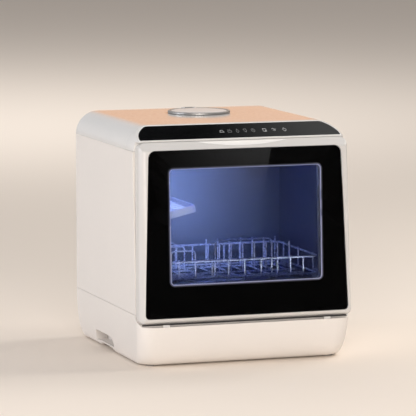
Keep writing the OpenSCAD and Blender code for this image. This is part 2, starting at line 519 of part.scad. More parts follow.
// U-shaped wire in the YZ plane: front post, floor, rear post
module uwire(x, yf, yb, zf, zt, r, R = 8) {
  cz(r, zf + R, zt, x, yf); cz(r, zf + R, zt, x, yb); cy(r, yf + R, yb - R, x, zf);
  translate([x, yf + R, zf + R]) rotate([0, 90, 0]) rotate([0, 0, 180]) mirror([1, 0, 0]) rotate_extrude(angle = 90) translate([R, 0]) circle(r);
  translate([x, yb - R, zf + R]) rotate([0, 90, 0]) rotate_extrude(angle = 90) translate([R, 0]) circle(r);
}
wy = ryf + wire_r + thin_r;    // U wires stand just inside the rails
wyb = ryb - wire_r - thin_r;
module rack_basket_wires() {
  color("#aab0ba") for (x = [-113.4, -80, -46.5, -13, 20, 46.5 + 7, 87, 113.4, 140, -140]) uwire(x, wy, wyb, 153.6, rz + rail_gap + (abs(x) == 113.4 || x == -46.5 ? 3 : -1.8), thin_r);
}
module hoop(x0, x1, y, z0, z1, r, R) {
  // inverted U of bent wire in the XZ plane
  for (x = [x0, x1]) cz(r, z0, z1 - R, x, y);
  cx(r, x0 + R, x1 - R, y, z1);
  translate([x0 + R, y, z1 - R]) rotate([90, 0, 0]) rotate([0, 0, 90]) rotate_extrude(angle = 90) translate([R, 0]) circle(r);
  translate([x1 - R, y, z1 - R]) rotate([90, 0, 0]) rotate_extrude(angle = 90) translate([R, 0]) circle(r);
}
module plate_tines() {
  color("#aab0ba") {
    // floor cross bars carrying upright tines, two rows
    for (y = [-62, 18]) bar(-138, 150, y);
    for (y = [-62, 18], k = [0:6]) cz(thin_r - 0.15, 156.8, 212, -6 + 24 * k, y);
    for (y = [-104, 56]) bar(-138, 150, y);
    // glass holder hoop behind the front rail
    bar(-138, 150, -128);
    hoop(-38, 78, -128, 156.8, 229, thin_r - 0.15, 9);
    // bowl hoops on the left
    for (y = [-86, -20, 36]) { bar(-138, -46, y); hoop(-113, -64, y, 156.8, 205, thin_r - 0.15, 7); }
  }
}
module bar(x0, x1, y) { box([x0, y - thin_r, 156.8 - thin_r], [x1, y + thin_r, 156.8 + thin_r]); }
module rack_glides() { color("#5c6168") both() for (y = [-118, 60]) box([rx + wire_r, y - 14, 146.3], [180.5, y + 14, 163]); }
module shelf_frame() { translate([-rx, 0, 270]) rotate([0, -shelf_tilt, 0]) children(); }
module cup_shelf() {
  color("#b9bcc2") shelf_frame() difference() {
    union() {
      box([4, -118, -7], [97, -115, 7]); box([4, 51, -7], [97, 54, 7]); box([94, -118, -7], [97, 54, 7]); box([4, -118, -7], [7, 54, 7]);
      for (k = [0:7]) box([7 - e, -104 + 20 * k, -5], [94 + e, -100 + 20 * k, -1]);
      for (x = [30, 60]) box([x, -115 - e, -5], [x + 4, 51 + e, -1]);
      for (y = [-92, -24, 26]) { cy(4.6, y - 6, y + 6, 0, 0); box([0, y - 6, -4], [5, y + 6, 4]); }
    }
    cy(wire_r + run_c, -130, 80, 0, 0);
  }
}
// ---------- spray arms and filter ----------
module blade(R, w0, w1, z0, z1) { ez(z0, z1) polygon(concat(arc(R - w1, 0, w1, -80, 80, 6), [[0, w0]], arc(-(R - w1), 0, w1, 100, 260, 6), [[0, -w0]])); }
module lower_spray_arm() {
  color("#c4c7cb") difference() {
    union() { translate([ax, ay, 0]) rotate([0, 0, 24]) blade(lower_arm_r, 20, 11, 128, 136); cz(19, 127, 138, ax, ay); cz(13, 138 - e, 143, ax, ay); }
    cz(8 + run_c, 120, 140.3, ax, ay);
    translate([ax, ay, 0]) rotate([0, 0, 24]) for (s = [-1, 1], d = [45, 75, 100, 122]) translate([s * d, s * 3, 130]) cylinder(r = 1.6, h = 10);
  }
}
module upper_spray_arm() {
  color("#c4c7cb") difference() {
    union() { translate([ux, ay, 0]) rotate([0, 0, -30]) blade(upper_arm_r, 15, 9, 380, 386); cz(14, 378, 388, ux, ay); cz(11, 368, 378 + e, ux, ay); }
    cz(8 + run_c, 371.7, 400, ux, ay);
    translate([ux, ay, 0]) rotate([0, 0, -30]) for (s = [-1, 1], d = [30, 52, 74]) translate([s * d, 0, 376]) cylinder(r = 1.6, h = 8);
  }
}
module filter_cup() {
  color("#868c93") difference() {
    union() { cz(42, 66, 118, fx, fy); cz(49, 116.2, 118.6, fx, fy); box([fx - 26, fy - 3, 118], [fx + 26, fy + 3, 123.5]); }
    difference() { cz(40, 68.5, 114, fx, fy); box([fx - 26, fy - 3, 60], [fx + 26, fy + 3, 66]); }
    for (a = [0:30:330]) translate([fx, fy, 0]) rotate([0, 0, a]) { box([36, -4, 76], [46, 4, 92]); box([36, -4, 96], [46, 4, 110]); }
    for (a = [22.5:45:360]) translate([fx, fy, 0]) rotate([0, 0, a]) box([12, -2.5, 112], [37, 2.5, 130]);
  }
}
module fill_lid() {
  color("#d9dadd") difference() {
    union() {
      cz(lid_r, body_h + 0.5, body_h + 4.6, lidx, lidy);
      cz(lid_r - 9, body_h + 4.6 - e, body_h + 5.4, lidx, lidy);
      box([lidx - 7.4, lidy + lid_r - 6, body_h + 2.8], [lidx + 7.4, lidy + lid_r + 3, body_h + 4.6]);
      cx(2.8, lidx - 7.4, lidx + 7.4, lidy + lid_r + 3, body_h + 3.4);
    }
    cz(lid_r - 4, body_h + 0.4, body_h + 2.9, lidx, lidy);
    cx(1.5 + run_c, lidx - 20, lidx + 20, lidy + lid_r + 3, body_h + 3.4);
    for (s = [-1, 1]) box([lidx + s * 11 - 3.4, lidy + lid_r - 9, body_h], [lidx + s * 11 + 3.4, lidy + lid_r + 8, body_h + 6.4]);
  }
}

base_housing();
service_plate();
rubber_feet();
side_panel();  // left_side_panel
mirror([1, 0, 0]) side_panel();  // right_side_panel
top_cover();
control_housing();
control_glass();
icon_light_guide();
control_board();
rear_panel();
vent_grille();
tub();
front_frame();
door_gasket();
hinge_brackets();
hinge_pins();
hinge_springs();
door_rest_pads();
latch_housing();
reed_sensor();
water_tank();
fill_funnel();
fill_collar();
wash_pump_volute();
wash_pump_motor();
wash_impeller();
drain_pump_body();
drain_impeller();
flow_heater();
sump();
fan_housing();
fan_rotor();
uv_lamp();
main_board();
connection_box();
drain_spigot();
water_inlet_valve();
cord_gland();
union() { drain_hose(); suction_hose(); }  // hoses
spray_riser();
upper_spray_feed();
panel_screws();
door_frame();
door_glass();
glass_border();
window_spacer();
inner_pane();
door_liner();
door_strike();
hinge_lugs();
rack_rails();
rack_basket_wires();
plate_tines();
rack_glides();
cup_shelf();
lower_spray_arm();
upper_spray_arm();
filter_cup();
fill_lid();
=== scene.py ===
import bpy, bmesh, json, math
from mathutils import Vector, Matrix

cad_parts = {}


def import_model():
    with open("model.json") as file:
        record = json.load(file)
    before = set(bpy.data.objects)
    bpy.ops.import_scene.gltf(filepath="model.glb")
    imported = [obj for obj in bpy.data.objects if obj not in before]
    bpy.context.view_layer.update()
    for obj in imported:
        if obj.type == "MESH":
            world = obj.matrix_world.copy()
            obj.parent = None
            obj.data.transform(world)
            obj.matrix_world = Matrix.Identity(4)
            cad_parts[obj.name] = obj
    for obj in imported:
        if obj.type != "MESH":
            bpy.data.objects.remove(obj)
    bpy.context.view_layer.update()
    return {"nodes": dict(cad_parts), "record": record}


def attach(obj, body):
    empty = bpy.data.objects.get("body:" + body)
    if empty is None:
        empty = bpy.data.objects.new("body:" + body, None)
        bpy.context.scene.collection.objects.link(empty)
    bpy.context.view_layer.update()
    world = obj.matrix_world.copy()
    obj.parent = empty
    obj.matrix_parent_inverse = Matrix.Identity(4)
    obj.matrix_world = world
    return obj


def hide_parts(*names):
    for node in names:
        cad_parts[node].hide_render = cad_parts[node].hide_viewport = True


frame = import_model()
NODES = frame["nodes"]
MM = 0.001

# ------------------------------------------------------------------ materials
def new_mat(name):
    m = bpy.data.materials.new(name)
    m.use_nodes = True
    nt = m.node_tree
    nt.nodes.clear()
    out = nt.nodes.new("ShaderNodeOutputMaterial")
    b = nt.nodes.new("ShaderNodeBsdfPrincipled")
    nt.links.new(b.outputs[0], out.inputs[0])
    return m, nt, b

def surface(name, col, rough=0.35, dr=0.06, metal=0.0, var=0.03, bump=0.12, fine=1400.0, stretch=None,
            coat=0.0, spec=0.5, bevel=0.0, wear=0.0, trans=0.0, ior=1.5, emit=None, estr=0.0, speck=0.0, sss=0.0):
    """A procedural material: slow colour drift, roughness variation, a fine bump, softened and worn edges."""
    m, nt, b = new_mat(name)
    N, L = nt.nodes, nt.links
    tc = N.new("ShaderNodeTexCoord")
    mp = N.new("ShaderNodeMapping")
    L.new(tc.outputs["Object"], mp.inputs[0])
    if stretch:
        mp.inputs["Scale"].default_value = stretch
    slow = N.new("ShaderNodeTexNoise"); slow.inputs["Scale"].default_value = 9.0; slow.inputs["Detail"].default_value = 4.0
    L.new(tc.outputs["Object"], slow.inputs["Vector"])
    mid = N.new("ShaderNodeTexNoise"); mid.inputs["Scale"].default_value = 160.0; mid.inputs["Detail"].default_value = 5.0
    L.new(mp.outputs[0], mid.inputs["Vector"])
    fin = N.new("ShaderNodeTexNoise"); fin.inputs["Scale"].default_value = fine; fin.inputs["Detail"].default_value = 3.0
    L.new(mp.outputs[0], fin.inputs["Vector"])
    mix = N.new("ShaderNodeMix"); mix.data_type = "RGBA"
    L.new(slow.outputs[0], mix.inputs[0])
    c = Vector(col)
    mix.inputs[6].default_value = (*[max(0, x * (1 - var)) for x in c], 1)
    mix.inputs[7].default_value = (*[min(1, x * (1 + var)) for x in c], 1)
    colour = mix.outputs[2]
    if speck:
        mx = N.new("ShaderNodeMix"); mx.data_type = "RGBA"
        rp = N.new("ShaderNodeMapRange"); rp.inputs[1].default_value = 0.62; rp.inputs[2].default_value = 0.75; rp.inputs[4].default_value = speck
        L.new(fin.outputs[0], rp.inputs[0]); L.new(rp.outputs[0], mx.inputs[0])
        L.new(colour, mx.inputs[6]); mx.inputs[7].default_value = (*[x * 0.55 for x in c], 1)
        colour = mx.outputs[2]
    if wear:
        g = N.new("ShaderNodeNewGeometry")
        bv = N.new("ShaderNodeBevel"); bv.samples = 4; bv.inputs[0].default_value = 0.0012
        dt = N.new("ShaderNodeVectorMath"); dt.operation = "DOT_PRODUCT"
        L.new(bv.outputs[0], dt.inputs[0]); L.new(g.outputs["Normal"], dt.inputs[1])
        er = N.new("ShaderNodeMapRange"); er.inputs[1].default_value = 1.0; er.inputs[2].default_value = 0.8; er.inputs[4].default_value = wear
        L.new(dt.outputs["Value"], er.inputs[0])
        mw = N.new("ShaderNodeMix"); mw.data_type = "RGBA"
        L.new(er.outputs[0], mw.inputs[0]); L.new(colour, mw.inputs[6])
        mw.inputs[7].default_value = (*[min(1, x * 1.25 + 0.05) for x in c], 1)
        colour = mw.outputs[2]
    L.new(colour, b.inputs["Base Color"])
    mr = N.new("ShaderNodeMapRange")
    mr.inputs[1].default_value = 0.3; mr.inputs[2].default_value = 0.7
    mr.inputs[3].default_value = max(0.0, rough - dr); mr.inputs[4].default_value = min(1.0, rough + dr)
    L.new(mid.outputs[0], mr.inputs[0]); L.new(mr.outputs[0], b.inputs["Roughness"])
    nrm = None
    if bevel:
        bn = N.new("ShaderNodeBevel"); bn.samples = 6; bn.inputs[0].default_value = bevel
        nrm = bn.outputs[0]
    if bump:
        bp = N.new("ShaderNodeBump"); bp.inputs["Strength"].default_value = bump; bp.inputs["Distance"].default_value = 0.0002
        L.new(fin.outputs[0], bp.inputs["Height"])
        if nrm is not None:
            L.new(nrm, bp.inputs["Normal"])
        nrm = bp.outputs[0]
    if nrm is not None:
        L.new(nrm, b.inputs["Normal"])
    b.inputs["Metallic"].default_value = metal
    b.inputs["Specular IOR Level"].default_value = spec
    b.inputs["IOR"].default_value = ior
    b.inputs["Coat Weight"].default_value = coat
    b.inputs["Coat Roughness"].default_value = 0.06
    b.inputs["Transmission Weight"].default_value = trans
    if sss:
        b.inputs["Subsurface Weight"].default_value = sss
        b.inputs["Subsurface Radius"].default_value = (0.004, 0.003, 0.002)
    if emit:
        b.inputs["Emission Color"].default_value = (*emit, 1)
        b.inputs["Emission Strength"].default_value = estr
    return m

WHITE = (0.645, 0.636, 0.624)
M = {
    "white_plastic": surface("white_plastic", WHITE, 0.22, 0.04, var=0.012, bump=0.035, fine=1800, coat=0.25, bevel=0.0012, speck=0.0),
    "side_plastic": surface("side_plastic", (0.80, 0.762, 0.725), 0.42, 0.06, var=0.015, bump=0.16, fine=1500, bevel=0.0008),
    "black_glass": surface("black_glass", (0.0022, 0.0026, 0.003), 0.04, 0.02, var=0.2, bump=0.0, coat=0.6, bevel=0.0004),
    "clear_glass": surface("clear_glass", (0.56, 0.59, 0.65), 0.0, 0.0, var=0.01, bump=0.0, trans=1.0, ior=1.47),
    "black_print": surface("black_print", (0.0016, 0.0016, 0.0018), 0.6, 0.04, var=0.1, bump=0.0, spec=0.0),
    "foot_rubber": surface("foot_rubber", (0.26, 0.245, 0.23), 0.72, 0.1, var=0.1, bump=0.5, fine=1100, bevel=0.0008, wear=0.25),
    "gasket_rubber": surface("gasket_rubber", (0.09, 0.095, 0.105), 0.6, 0.1, var=0.08, bump=0.4, fine=1200, bevel=0.001, wear=0.2),
    "tub_steel": surface("tub_steel", (0.185, 0.20, 0.225), 0.46, 0.06, metal=0.4, var=0.04, bump=0.25, fine=900, stretch=(0.08, 0.08, 1.6), bevel=0.001),
    "wire": surface("wire", (0.72, 0.74, 0.78), 0.3, 0.08, metal=0.35, var=0.06, bump=0.25, fine=1500),
    "grey_plastic": surface("grey_plastic", (0.50, 0.50, 0.52), 0.45, 0.08, var=0.04, bump=0.3, fine=1300, bevel=0.0008, wear=0.1),
    "dark_plastic": surface("dark_plastic", (0.045, 0.047, 0.05), 0.5, 0.1, var=0.12, bump=0.4, fine=1200, bevel=0.0008, wear=0.25),
    "light_plastic": surface("light_plastic", (0.72, 0.71, 0.69), 0.4, 0.07, var=0.03, bump=0.25, fine=1400, bevel=0.0008, wear=0.1),
    "steel": surface("steel", (0.60, 0.61, 0.62), 0.28, 0.08, metal=1.0, var=0.05, bump=0.3, fine=1000, stretch=(1.0, 0.15, 1.0), bevel=0.0006, wear=0.3),
    "metal_trim": surface("metal_trim", (0.36, 0.35, 0.34), 0.50, 0.05, metal=1.0, var=0.03, bump=0.1, fine=1600, bevel=0.0006, wear=0.2),
    "circuit": surface("circuit", (0.03, 0.16, 0.07), 0.35, 0.1, var=0.25, bump=0.5, fine=500, speck=0.5),
    "tank_plastic": surface("tank_plastic", (0.78, 0.82, 0.86), 0.3, 0.08, var=0.02, bump=0.15, fine=700, trans=0.35, bevel=0.001),
    "lamp": surface("lamp", (0.5, 0.55, 1.0), 0.1, 0.03, var=0.02, bump=0.02, emit=(0.16, 0.2, 1.0), estr=14.0),
    "hose_plastic": surface("hose_plastic", (0.16, 0.16, 0.165), 0.55, 0.1, var=0.1, bump=0.5, fine=600, wear=0.1),
}
M["lid_white"] = surface("lid_white", (0.80, 0.78, 0.765), 0.42, 0.03, var=0.01, bump=0.008, fine=1800, coat=0.08)
M["rim_satin"] = surface("rim_satin", (0.37, 0.355, 0.335), 0.46, 0.04, metal=0.55, var=0.02, bump=0.01, fine=1800)
# near-black material for the strip under the door: painted shade in the gap
M["sill_painted_shadow"] = surface("sill_painted_shadow", (0.07, 0.066, 0.064), 0.6, 0.1, var=0.08, bump=0.3, fine=1200)
# the same finish as white_plastic but lighter, on the top cover and control housing: painted light on the upward-facing
# top
M["top_white_painted_lighter"] = surface("top_white_painted_lighter", (0.76, 0.748, 0.73), 0.22, 0.04, var=0.012, bump=0.035, fine=1800, coat=0.25, bevel=0.0012)
# rim line round the control glass: a lighter white with a weak emission, a painted highlight on its edge
M["trim_painted_highlight"] = surface("trim_painted_highlight", (0.90, 0.90, 0.89), 0.18, 0.03, var=0.01, bump=0.02, fine=1800, coat=0.5, emit=(1.0, 1.0, 0.99), estr=0.10)
# lighter white for the rear wall of the door's finger scoop: a painted highlight
M["scoop_painted_highlight"] = surface("scoop_painted_highlight", (0.86, 0.86, 0.85), 0.25, 0.03, var=0.01, bump=0.02, fine=1800, coat=0.4)
# touch marks: print colours with a weak emission, a painted glow, stronger on the bright ones
M["mark_bright_painted_glow"] = surface("mark_bright_painted_glow", (0.58, 0.59, 0.60), 0.4, 0.05, var=0.05, bump=0.1, emit=(0.9, 0.92, 0.95), estr=0.12)
M["mark_dim_painted_glow"] = surface("mark_dim_painted_glow", (0.20, 0.205, 0.21), 0.4, 0.05, var=0.05, bump=0.1, emit=(0.9, 0.92, 0.95), estr=0.035)
# lilac emission round the window edge, strongest at the edge and fading outwards: a painted glow
M["print_edge_painted_glow"], _nt, _b = new_mat("print_edge_painted_glow")
_b.inputs["Base Color"].default_value = (0.01, 0.01, 0.012, 1)
_a = _nt.nodes.new("ShaderNodeAttribute"); _a.attribute_name = "glow"
_p = _nt.nodes.new("ShaderNodeMath"); _p.operation = "POWER"; _p.inputs[1].default_value = 2.6
_m = _nt.nodes.new("ShaderNodeMath"); _m.operation = "MULTIPLY"; _m.inputs[1].default_value = 1.0
_nt.links.new(_a.outputs["Fac"], _p.inputs[0]); _nt.links.new(_p.outputs[0], _m.inputs[0]); _nt.links.new(_m.outputs[0], _b.inputs["Emission Strength"])
_n = _nt.nodes.new("ShaderNodeTexNoise"); _n.inputs["Scale"].default_value = 14.0
_x = _nt.nodes.new("ShaderNodeMix"); _x.data_type = "RGBA"; _nt.links.new(_n.outputs[0], _x.inputs[0])
_x.inputs[6].default_value = (0.58, 0.56, 0.82, 1); _x.inputs[7].default_value = (0.72, 0.69, 0.89, 1)
_nt.links.new(_x.outputs[2], _b.inputs["Emission Color"]); _b.inputs["Roughness"].default_value = 0.5
slots = {s["node"]: s["material_slot"] for s in frame["record"]["subparts"]}
for n, o in NODES.items():
    o.data.materials.clear()
    o.data.materials.append(M[slots[n]])

# ------------------------------------------------------------------ mesh helpers
def sharpen(me, deg=32.0):
    bm = bmesh.new(); bm.from_mesh(me)
    for f in bm.faces:
        f.smooth = True
    for e in bm.edges:
        e.smooth = not (len(e.link_faces) != 2 or e.calc_face_angle(0.0) > math.radians(deg))
    bm.to_mesh(me); bm.free()

def obj(name, verts, faces, mats, xf=None, fix=True, mi=None):
    """Makes a mesh object from millimetre points."""
    me = bpy.data.meshes.new(name)
    pts = [(xf(Vector(v)) if xf else Vector(v)) * MM for v in verts]
    me.from_pydata(pts, [], faces)
    if mi:
        me.polygons.foreach_set("material_index", mi)
    bm = bmesh.new(); bm.from_mesh(me)
    if fix:
        bmesh.ops.remove_doubles(bm, verts=bm.verts, dist=1e-6)
        bmesh.ops.recalc_face_normals(bm, faces=bm.faces)
    bm.to_mesh(me); bm.free()
    o = bpy.data.objects.new(name, me)
    bpy.context.scene.collection.objects.link(o)
    for m in (mats if isinstance(mats, (list, tuple)) else [mats]):
        me.materials.append(m)
    return o

def bake(o):
    """Applies all modifiers of an object to its mesh."""
    dg = bpy.context.evaluated_depsgraph_get()
    dg.update()
    me = bpy.data.meshes.new_from_object(o.evaluated_get(dg))
    o.modifiers.clear()
    old = o.data
    o.data = me
    bpy.data.meshes.remove(old)

def cut(o, cutters, op="DIFFERENCE"):
    for c in cutters:
        md = o.modifiers.new("b", "BOOLEAN"); md.operation = op; md.object = c; md.solver = "EXACT"
    bake(o)
    for c in cutters:
        me = c.data
        bpy.data.objects.remove(c); bpy.data.meshes.remove(me)

def bevel(o, w, deg=25, seg=3):
    md = o.modifiers.new("v", "BEVEL"); md.width = w * MM; md.segments = seg; md.limit_method = "ANGLE"
    md.angle_limit = math.radians(deg); md.harden_normals = False; md.use_clamp_overlap = True
    bake(o)

def soften(o, w, pick, deg=35, seg=3):
    """Rounds only the sharp edges chosen by pick, which is given the two end points in millimetres."""
    bm = bmesh.new(); bm.from_mesh(o.data)
    lay = bm.edges.layers.float.get("bevel_weight_edge") or bm.edges.layers.float.new("bevel_weight_edge")
    for e in bm.edges:
        hit = len(e.link_faces) == 2 and e.calc_face_angle(0.0) > math.radians(deg) and pick(e.verts[0].co / MM, e.verts[1].co / MM)
        e[lay] = 1.0 if hit else 0.0
    bm.to_mesh(o.data); bm.free()
    md = o.modifiers.new("v", "BEVEL"); md.width = w * MM; md.segments = seg; md.limit_method = "WEIGHT"; md.use_clamp_overlap = True
    bake(o)

def prism(name, poly, a, b, axis, mats, xf=None):
    """A closed extrusion of a polygon. axis x: polygon is (y, z); axis y: (x, z); axis z: (x, y)."""
    n = len(poly)
    def P(p, t):
        return {"x": (t, p[0], p[1]), "y": (p[0], t, p[1]), "z": (p[0], p[1], t)}[axis]
    v = [P(p, a) for p in poly] + [P(p, b) for p in poly]
    f = [list(range(n)), list(range(2 * n - 1, n - 1, -1))] + [[i, (i + 1) % n, n + (i + 1) % n, n + i] for i in range(n)]
    return obj(name, v, f, mats, xf)

def block(name, a, b, mats, xf=None):
    return prism(name, [(a[0], a[1]), (b[0], a[1]), (b[0], b[1]), (a[0], b[1])], a[2], b[2], "z", mats, xf)

def loft(name, rings, mats, cap=True, closed=False, xf=None, mi=None):
    """Joins equal rings of points; cap closes the two end rings, closed joins the last ring to the first."""
    n, k = len(rings[0]), len(rings)
    v = [p for r in rings for p in r]
    f = []
    for j in range(k if closed else k - 1):
        a, b = j * n, ((j + 1) % k) * n
        f += [[a + i, a + (i + 1) % n, b + (i + 1) % n, b + i] for i in range(n)]
    if cap and not closed:
        f += [list(range(n))[::-1], list(range((k - 1) * n, k * n))]
    return obj(name, v, f, mats, xf, mi=mi)

def lathe(name, prof, cxyz, mats, seg=96, axis="z", xf=None):
    """Turns a closed (r, h) profile about an axis through cxyz."""
    cx_, cy_, cz_ = cxyz
    v = []
    for j in range(seg):
        a = 2 * math.pi * j / seg
        c, s = math.cos(a), math.sin(a)
        for r, h in prof:
            v.append({"z": (cx_ + r * c, cy_ + r * s, cz_ + h), "x": (cx_ + h, cy_ + r * c, cz_ + r * s), "y": (cx_ + r * c, cy_ + h, cz_ + r * s)}[axis])
    n = len(prof)
    f = [[j * n + i, j * n + (i + 1) % n, ((j + 1) % seg) * n + (i + 1) % n, ((j + 1) % seg) * n + i] for j in range(seg) for i in range(n)]
    return obj(name, v, f, mats, xf)

def put(o, body, slot=None, *nodes, deg=32.0):
    if deg:
        sharpen(o.data, deg)
        md = o.modifiers.new("n", "WEIGHTED_NORMAL"); md.keep_sharp = True; md.mode = "FACE_AREA"; md.weight = 60
        bake(o)
    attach(o, body)
    if nodes:
        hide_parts(*nodes)
    return o

def arc(cx_, cy_, r, a0, a1, n):
    return [(cx_ + r * math.cos(math.radians(a0 + (a1 - a0) * i / n)), cy_ + r * math.sin(math.radians(a0 + (a1 - a0) * i / n))) for i in range(n + 1)]

def rrect(x0, y0, x1, y1, r, n=8):
    return arc(x1 - r, y1 - r, r, 0, 90, n) + arc(x0 + r, y1 - r, r, 90, 180, n) + arc(x0 + r, y0 + r, r, 180, 270, n) + arc(x1 - r, y0 + r, r, 270, 360, n)

def smooth(t):
    t = max(0.0, min(1.0, t))
    return t * t * (3 - 2 * t)

# door frame of reference: hinge axis at the origin, leaning back 3 degrees
C3, S3 = math.cos(math.radians(3)), math.sin(math.radians(3))
def DL(p):
    return Vector((p[0], -199 + p[1] * C3 + p[2] * S3, 101 - p[1] * S3 + p[2] * C3))

# ------------------------------------------------------------------ pieces of the cabinet
BW, YR = 215.0, 215.0
def tuckf(t, a):
    return a * (1 - math.sqrt(max(0.0, 1 - max(0.0, t) ** 1.96)))

def fillet(poly, r, n=4):
    """Rounds the corners of a polygon; r is one radius or one for each corner."""
    out, k = [], len(poly)
    for i in range(k):
        p, a, b = Vector(poly[i]), Vector(poly[i - 1]), Vector(poly[(i + 1) % k])
        ri = r[i] if isinstance(r, (list, tuple)) else r
        u, v = (a - p), (b - p)
        lu, lv = u.length, v.length
        u.normalize(); v.normalize()
        ang = math.acos(max(-1, min(1, u.dot(v))))
        if ri <= 0 or ang > 3.1:
            out.append((p.x, p.y)); continue
        d = min(ri / math.tan(ang / 2), lu * 0.48, lv * 0.48)
        s, e_ = p + u * d, p + v * d
        for j in range(n + 1):
            t = j / n
            q_ = s * (1 - t) ** 2 + p * 2 * t * (1 - t) + e_ * t * t
            out.append((q_.x, q_.y))
    return out

def base_ring(z, i=0.0, n=12, t=None):
    if t is None:
        t = (95 - z) / (92 - i)
    x = BW - tuckf(t, 14) - i
    yf = min(YR, YR + tuckf((95 - 79.5) / 92, 36) - tuckf(t, 36)) - i
    yb = YR - tuckf(t, 19) - i
    R, r = 34 - i, 6 - i
    p = arc(x - r, yb - r, r, 0, 90, 5) + arc(-x + r, yb - r, r, 90, 180, 5) + arc(-x + R, -yf + R, R, 180, 270, n) + arc(x - R, -yf + R, R, 270, 360, n)
    return [(a, b, z) for a, b in p]

def base_solid(name, i, ztop):
    ks = [base_ring(95 - (92 - i) * math.sin(math.radians(90 * k / 18)), i, t=math.sin(math.radians(90 * k / 18))) for k in range(18, -1, -1)]
    return loft(name, ks + [base_ring(ztop, i)], [])

white = M["white_plastic"]
side_m = M[slots["base_housing"]]
shell = base_solid("base_shell", 0, 112.0)
shell.data.materials.append(side_m)
cut(shell, [prism("c", [(-240, 79.5), (-202, 79.5)] + arc(-199, 101, 17.6, -60, -4.5, 10) + [(240, 99.6), (240, 140), (-240, 140)], -240, 240, "x", side_m)])
soften(shell, 1.0, lambda a, b: abs(a.z - b.z) < 0.01 and (abs(a.z - 79.5) < 0.05 or abs(a.z - 99.6) < 0.05) and not (abs(a.y - b.y) < 0.01 and a.y > -205) or (a.y > 214 and b.y > 214 and abs(a.z - 99.6) < 0.05))
hollow = base_solid("hollow", 3.0, 131.0)
hollow.data.materials.append(side_m)
cut(hollow, [prism("c", [(-240, 76.5), (-203, 76.5)] + arc(-199, 101, 20.6, -60, -4.5, 10) + [(-178.4, 140), (-240, 140)], -240, 240, "x", side_m)]
    + [prism("c", fillet([(94, 35), (-12, 36), (-23, 31), (-23, 10), (-20, 3.5), (82, 3.5), (103, 8), (98, 22)], 3), *((-240, -182) if s < 0 else (182, 240)), "x", side_m) for s in (-1, 1)])
grip = fillet([(89, 32), (-10, 33), (-17, 29.5), (-20, 22), (-20, 13.5), (70, 13.5), (98, 10.5), (94, 20)], [3.5, 4, 3, 3, 2.5, 8, 2, 6], 4)
rise = fillet([(84, 1), (66, 10), (0, 10), (-24, 1)], [0, 7, 7, 0], 5)
cutters = [hollow]
for s in (-1, 1):
    cutters.append(prism("c", grip, *((-240, -185) if s < 0 else (185, 240)), "x", side_m))
    cutters.append(prism("c", rise, *((-240, -155) if s < 0 else (155, 240)), "x", side_m))
    cutters.append(block("c", (s * 150 - 5.5, -186, 96.5), (s * 150 + 5.5, -170, 112), side_m))
    for y in (-166, 166):
        cutters.append(prism("c", arc(s * 181, y, 3.05, 0, 330, 11), 0, 20, "z", side_m))
for x in (-124, 64):
    for y in (-64, 94):
        cutters.append(prism("c", arc(x, y, 2.1, 0, 330, 11), -1, 12, "z", side_m))
cutters.append(prism("c", rrect(-120, -60, 60, 90, 5, 4), -1, 20, "z", side_m))
cutters.append(prism("c", rrect(62, 30, 192, 82, 4, 4), 195, 230, "y", side_m))
cut(shell, cutters)
put(shell, "cabinet", slots["base_housing"], "base_housing")
# a thin near-black strip in the rebate under the door: painted shade for the gap between the door's lower edge and the
# base, not a real seal
sill = prism("sill_shadow_strip", [(-199.8, 80.9), (-195.7, 83.07), (-195.85, 83.35), (-199.9, 81.25)], -207, 207, "x", M["sill_painted_shadow"])
put(sill, "cabinet", "gasket_rubber")

# top cover: the shell over the cabinet, rounded at the rear edge
def top_ring(y, i, zl):
    r = 45 - i
    return [(BW - i, y, zl)] + [(a, y, b) for a, b in arc(BW - 45, 410, r, 0, 90, 20)] + [(a, y, b) for a, b in arc(-(BW - 45), 410, r, 90, 180, 20)] + [(-(BW - i), y, zl)]
rows = [top_ring(-119, 0.7, 410.0), top_ring(-118.8, 0.2, 410.0), top_ring(-118.3, 0.0, 410.0), top_ring(208.5, 0, 410.0)]
for k in range(1, 8):
    a = math.radians(90 * k / 7)
    rows.append(top_ring(209 + 6 * math.sin(a), 6 * (1 - math.cos(a)), 410.0))
cover = loft("top_shell", rows, M["top_white_painted_lighter"])
inner = [(-211.5, 405.0)] + arc(-(BW - 45), 409, 41.5, 180, 90, 16) + arc(BW - 45, 409, 41.5, 90, 0, 16) + [(211.5, 405.0)]
cs = [prism("c", inner, -140, 212.5, "y", white)]
cs.append(block("c", (-212.5, -140, 400), (212.5, 212.5, 414), white))
cs.append(prism("c", arc(6, 96, 42, 0, 354.375, 63), 430, 470, "z", white))
for s in (-1, 1):
    cs.append(prism("c", arc(6 + s * 52, 96, 3, 0, 330, 11), 430, 470, "z", white))
cut(cover, cs)
put(cover, "cabinet", slots["top_cover"], "top_cover")

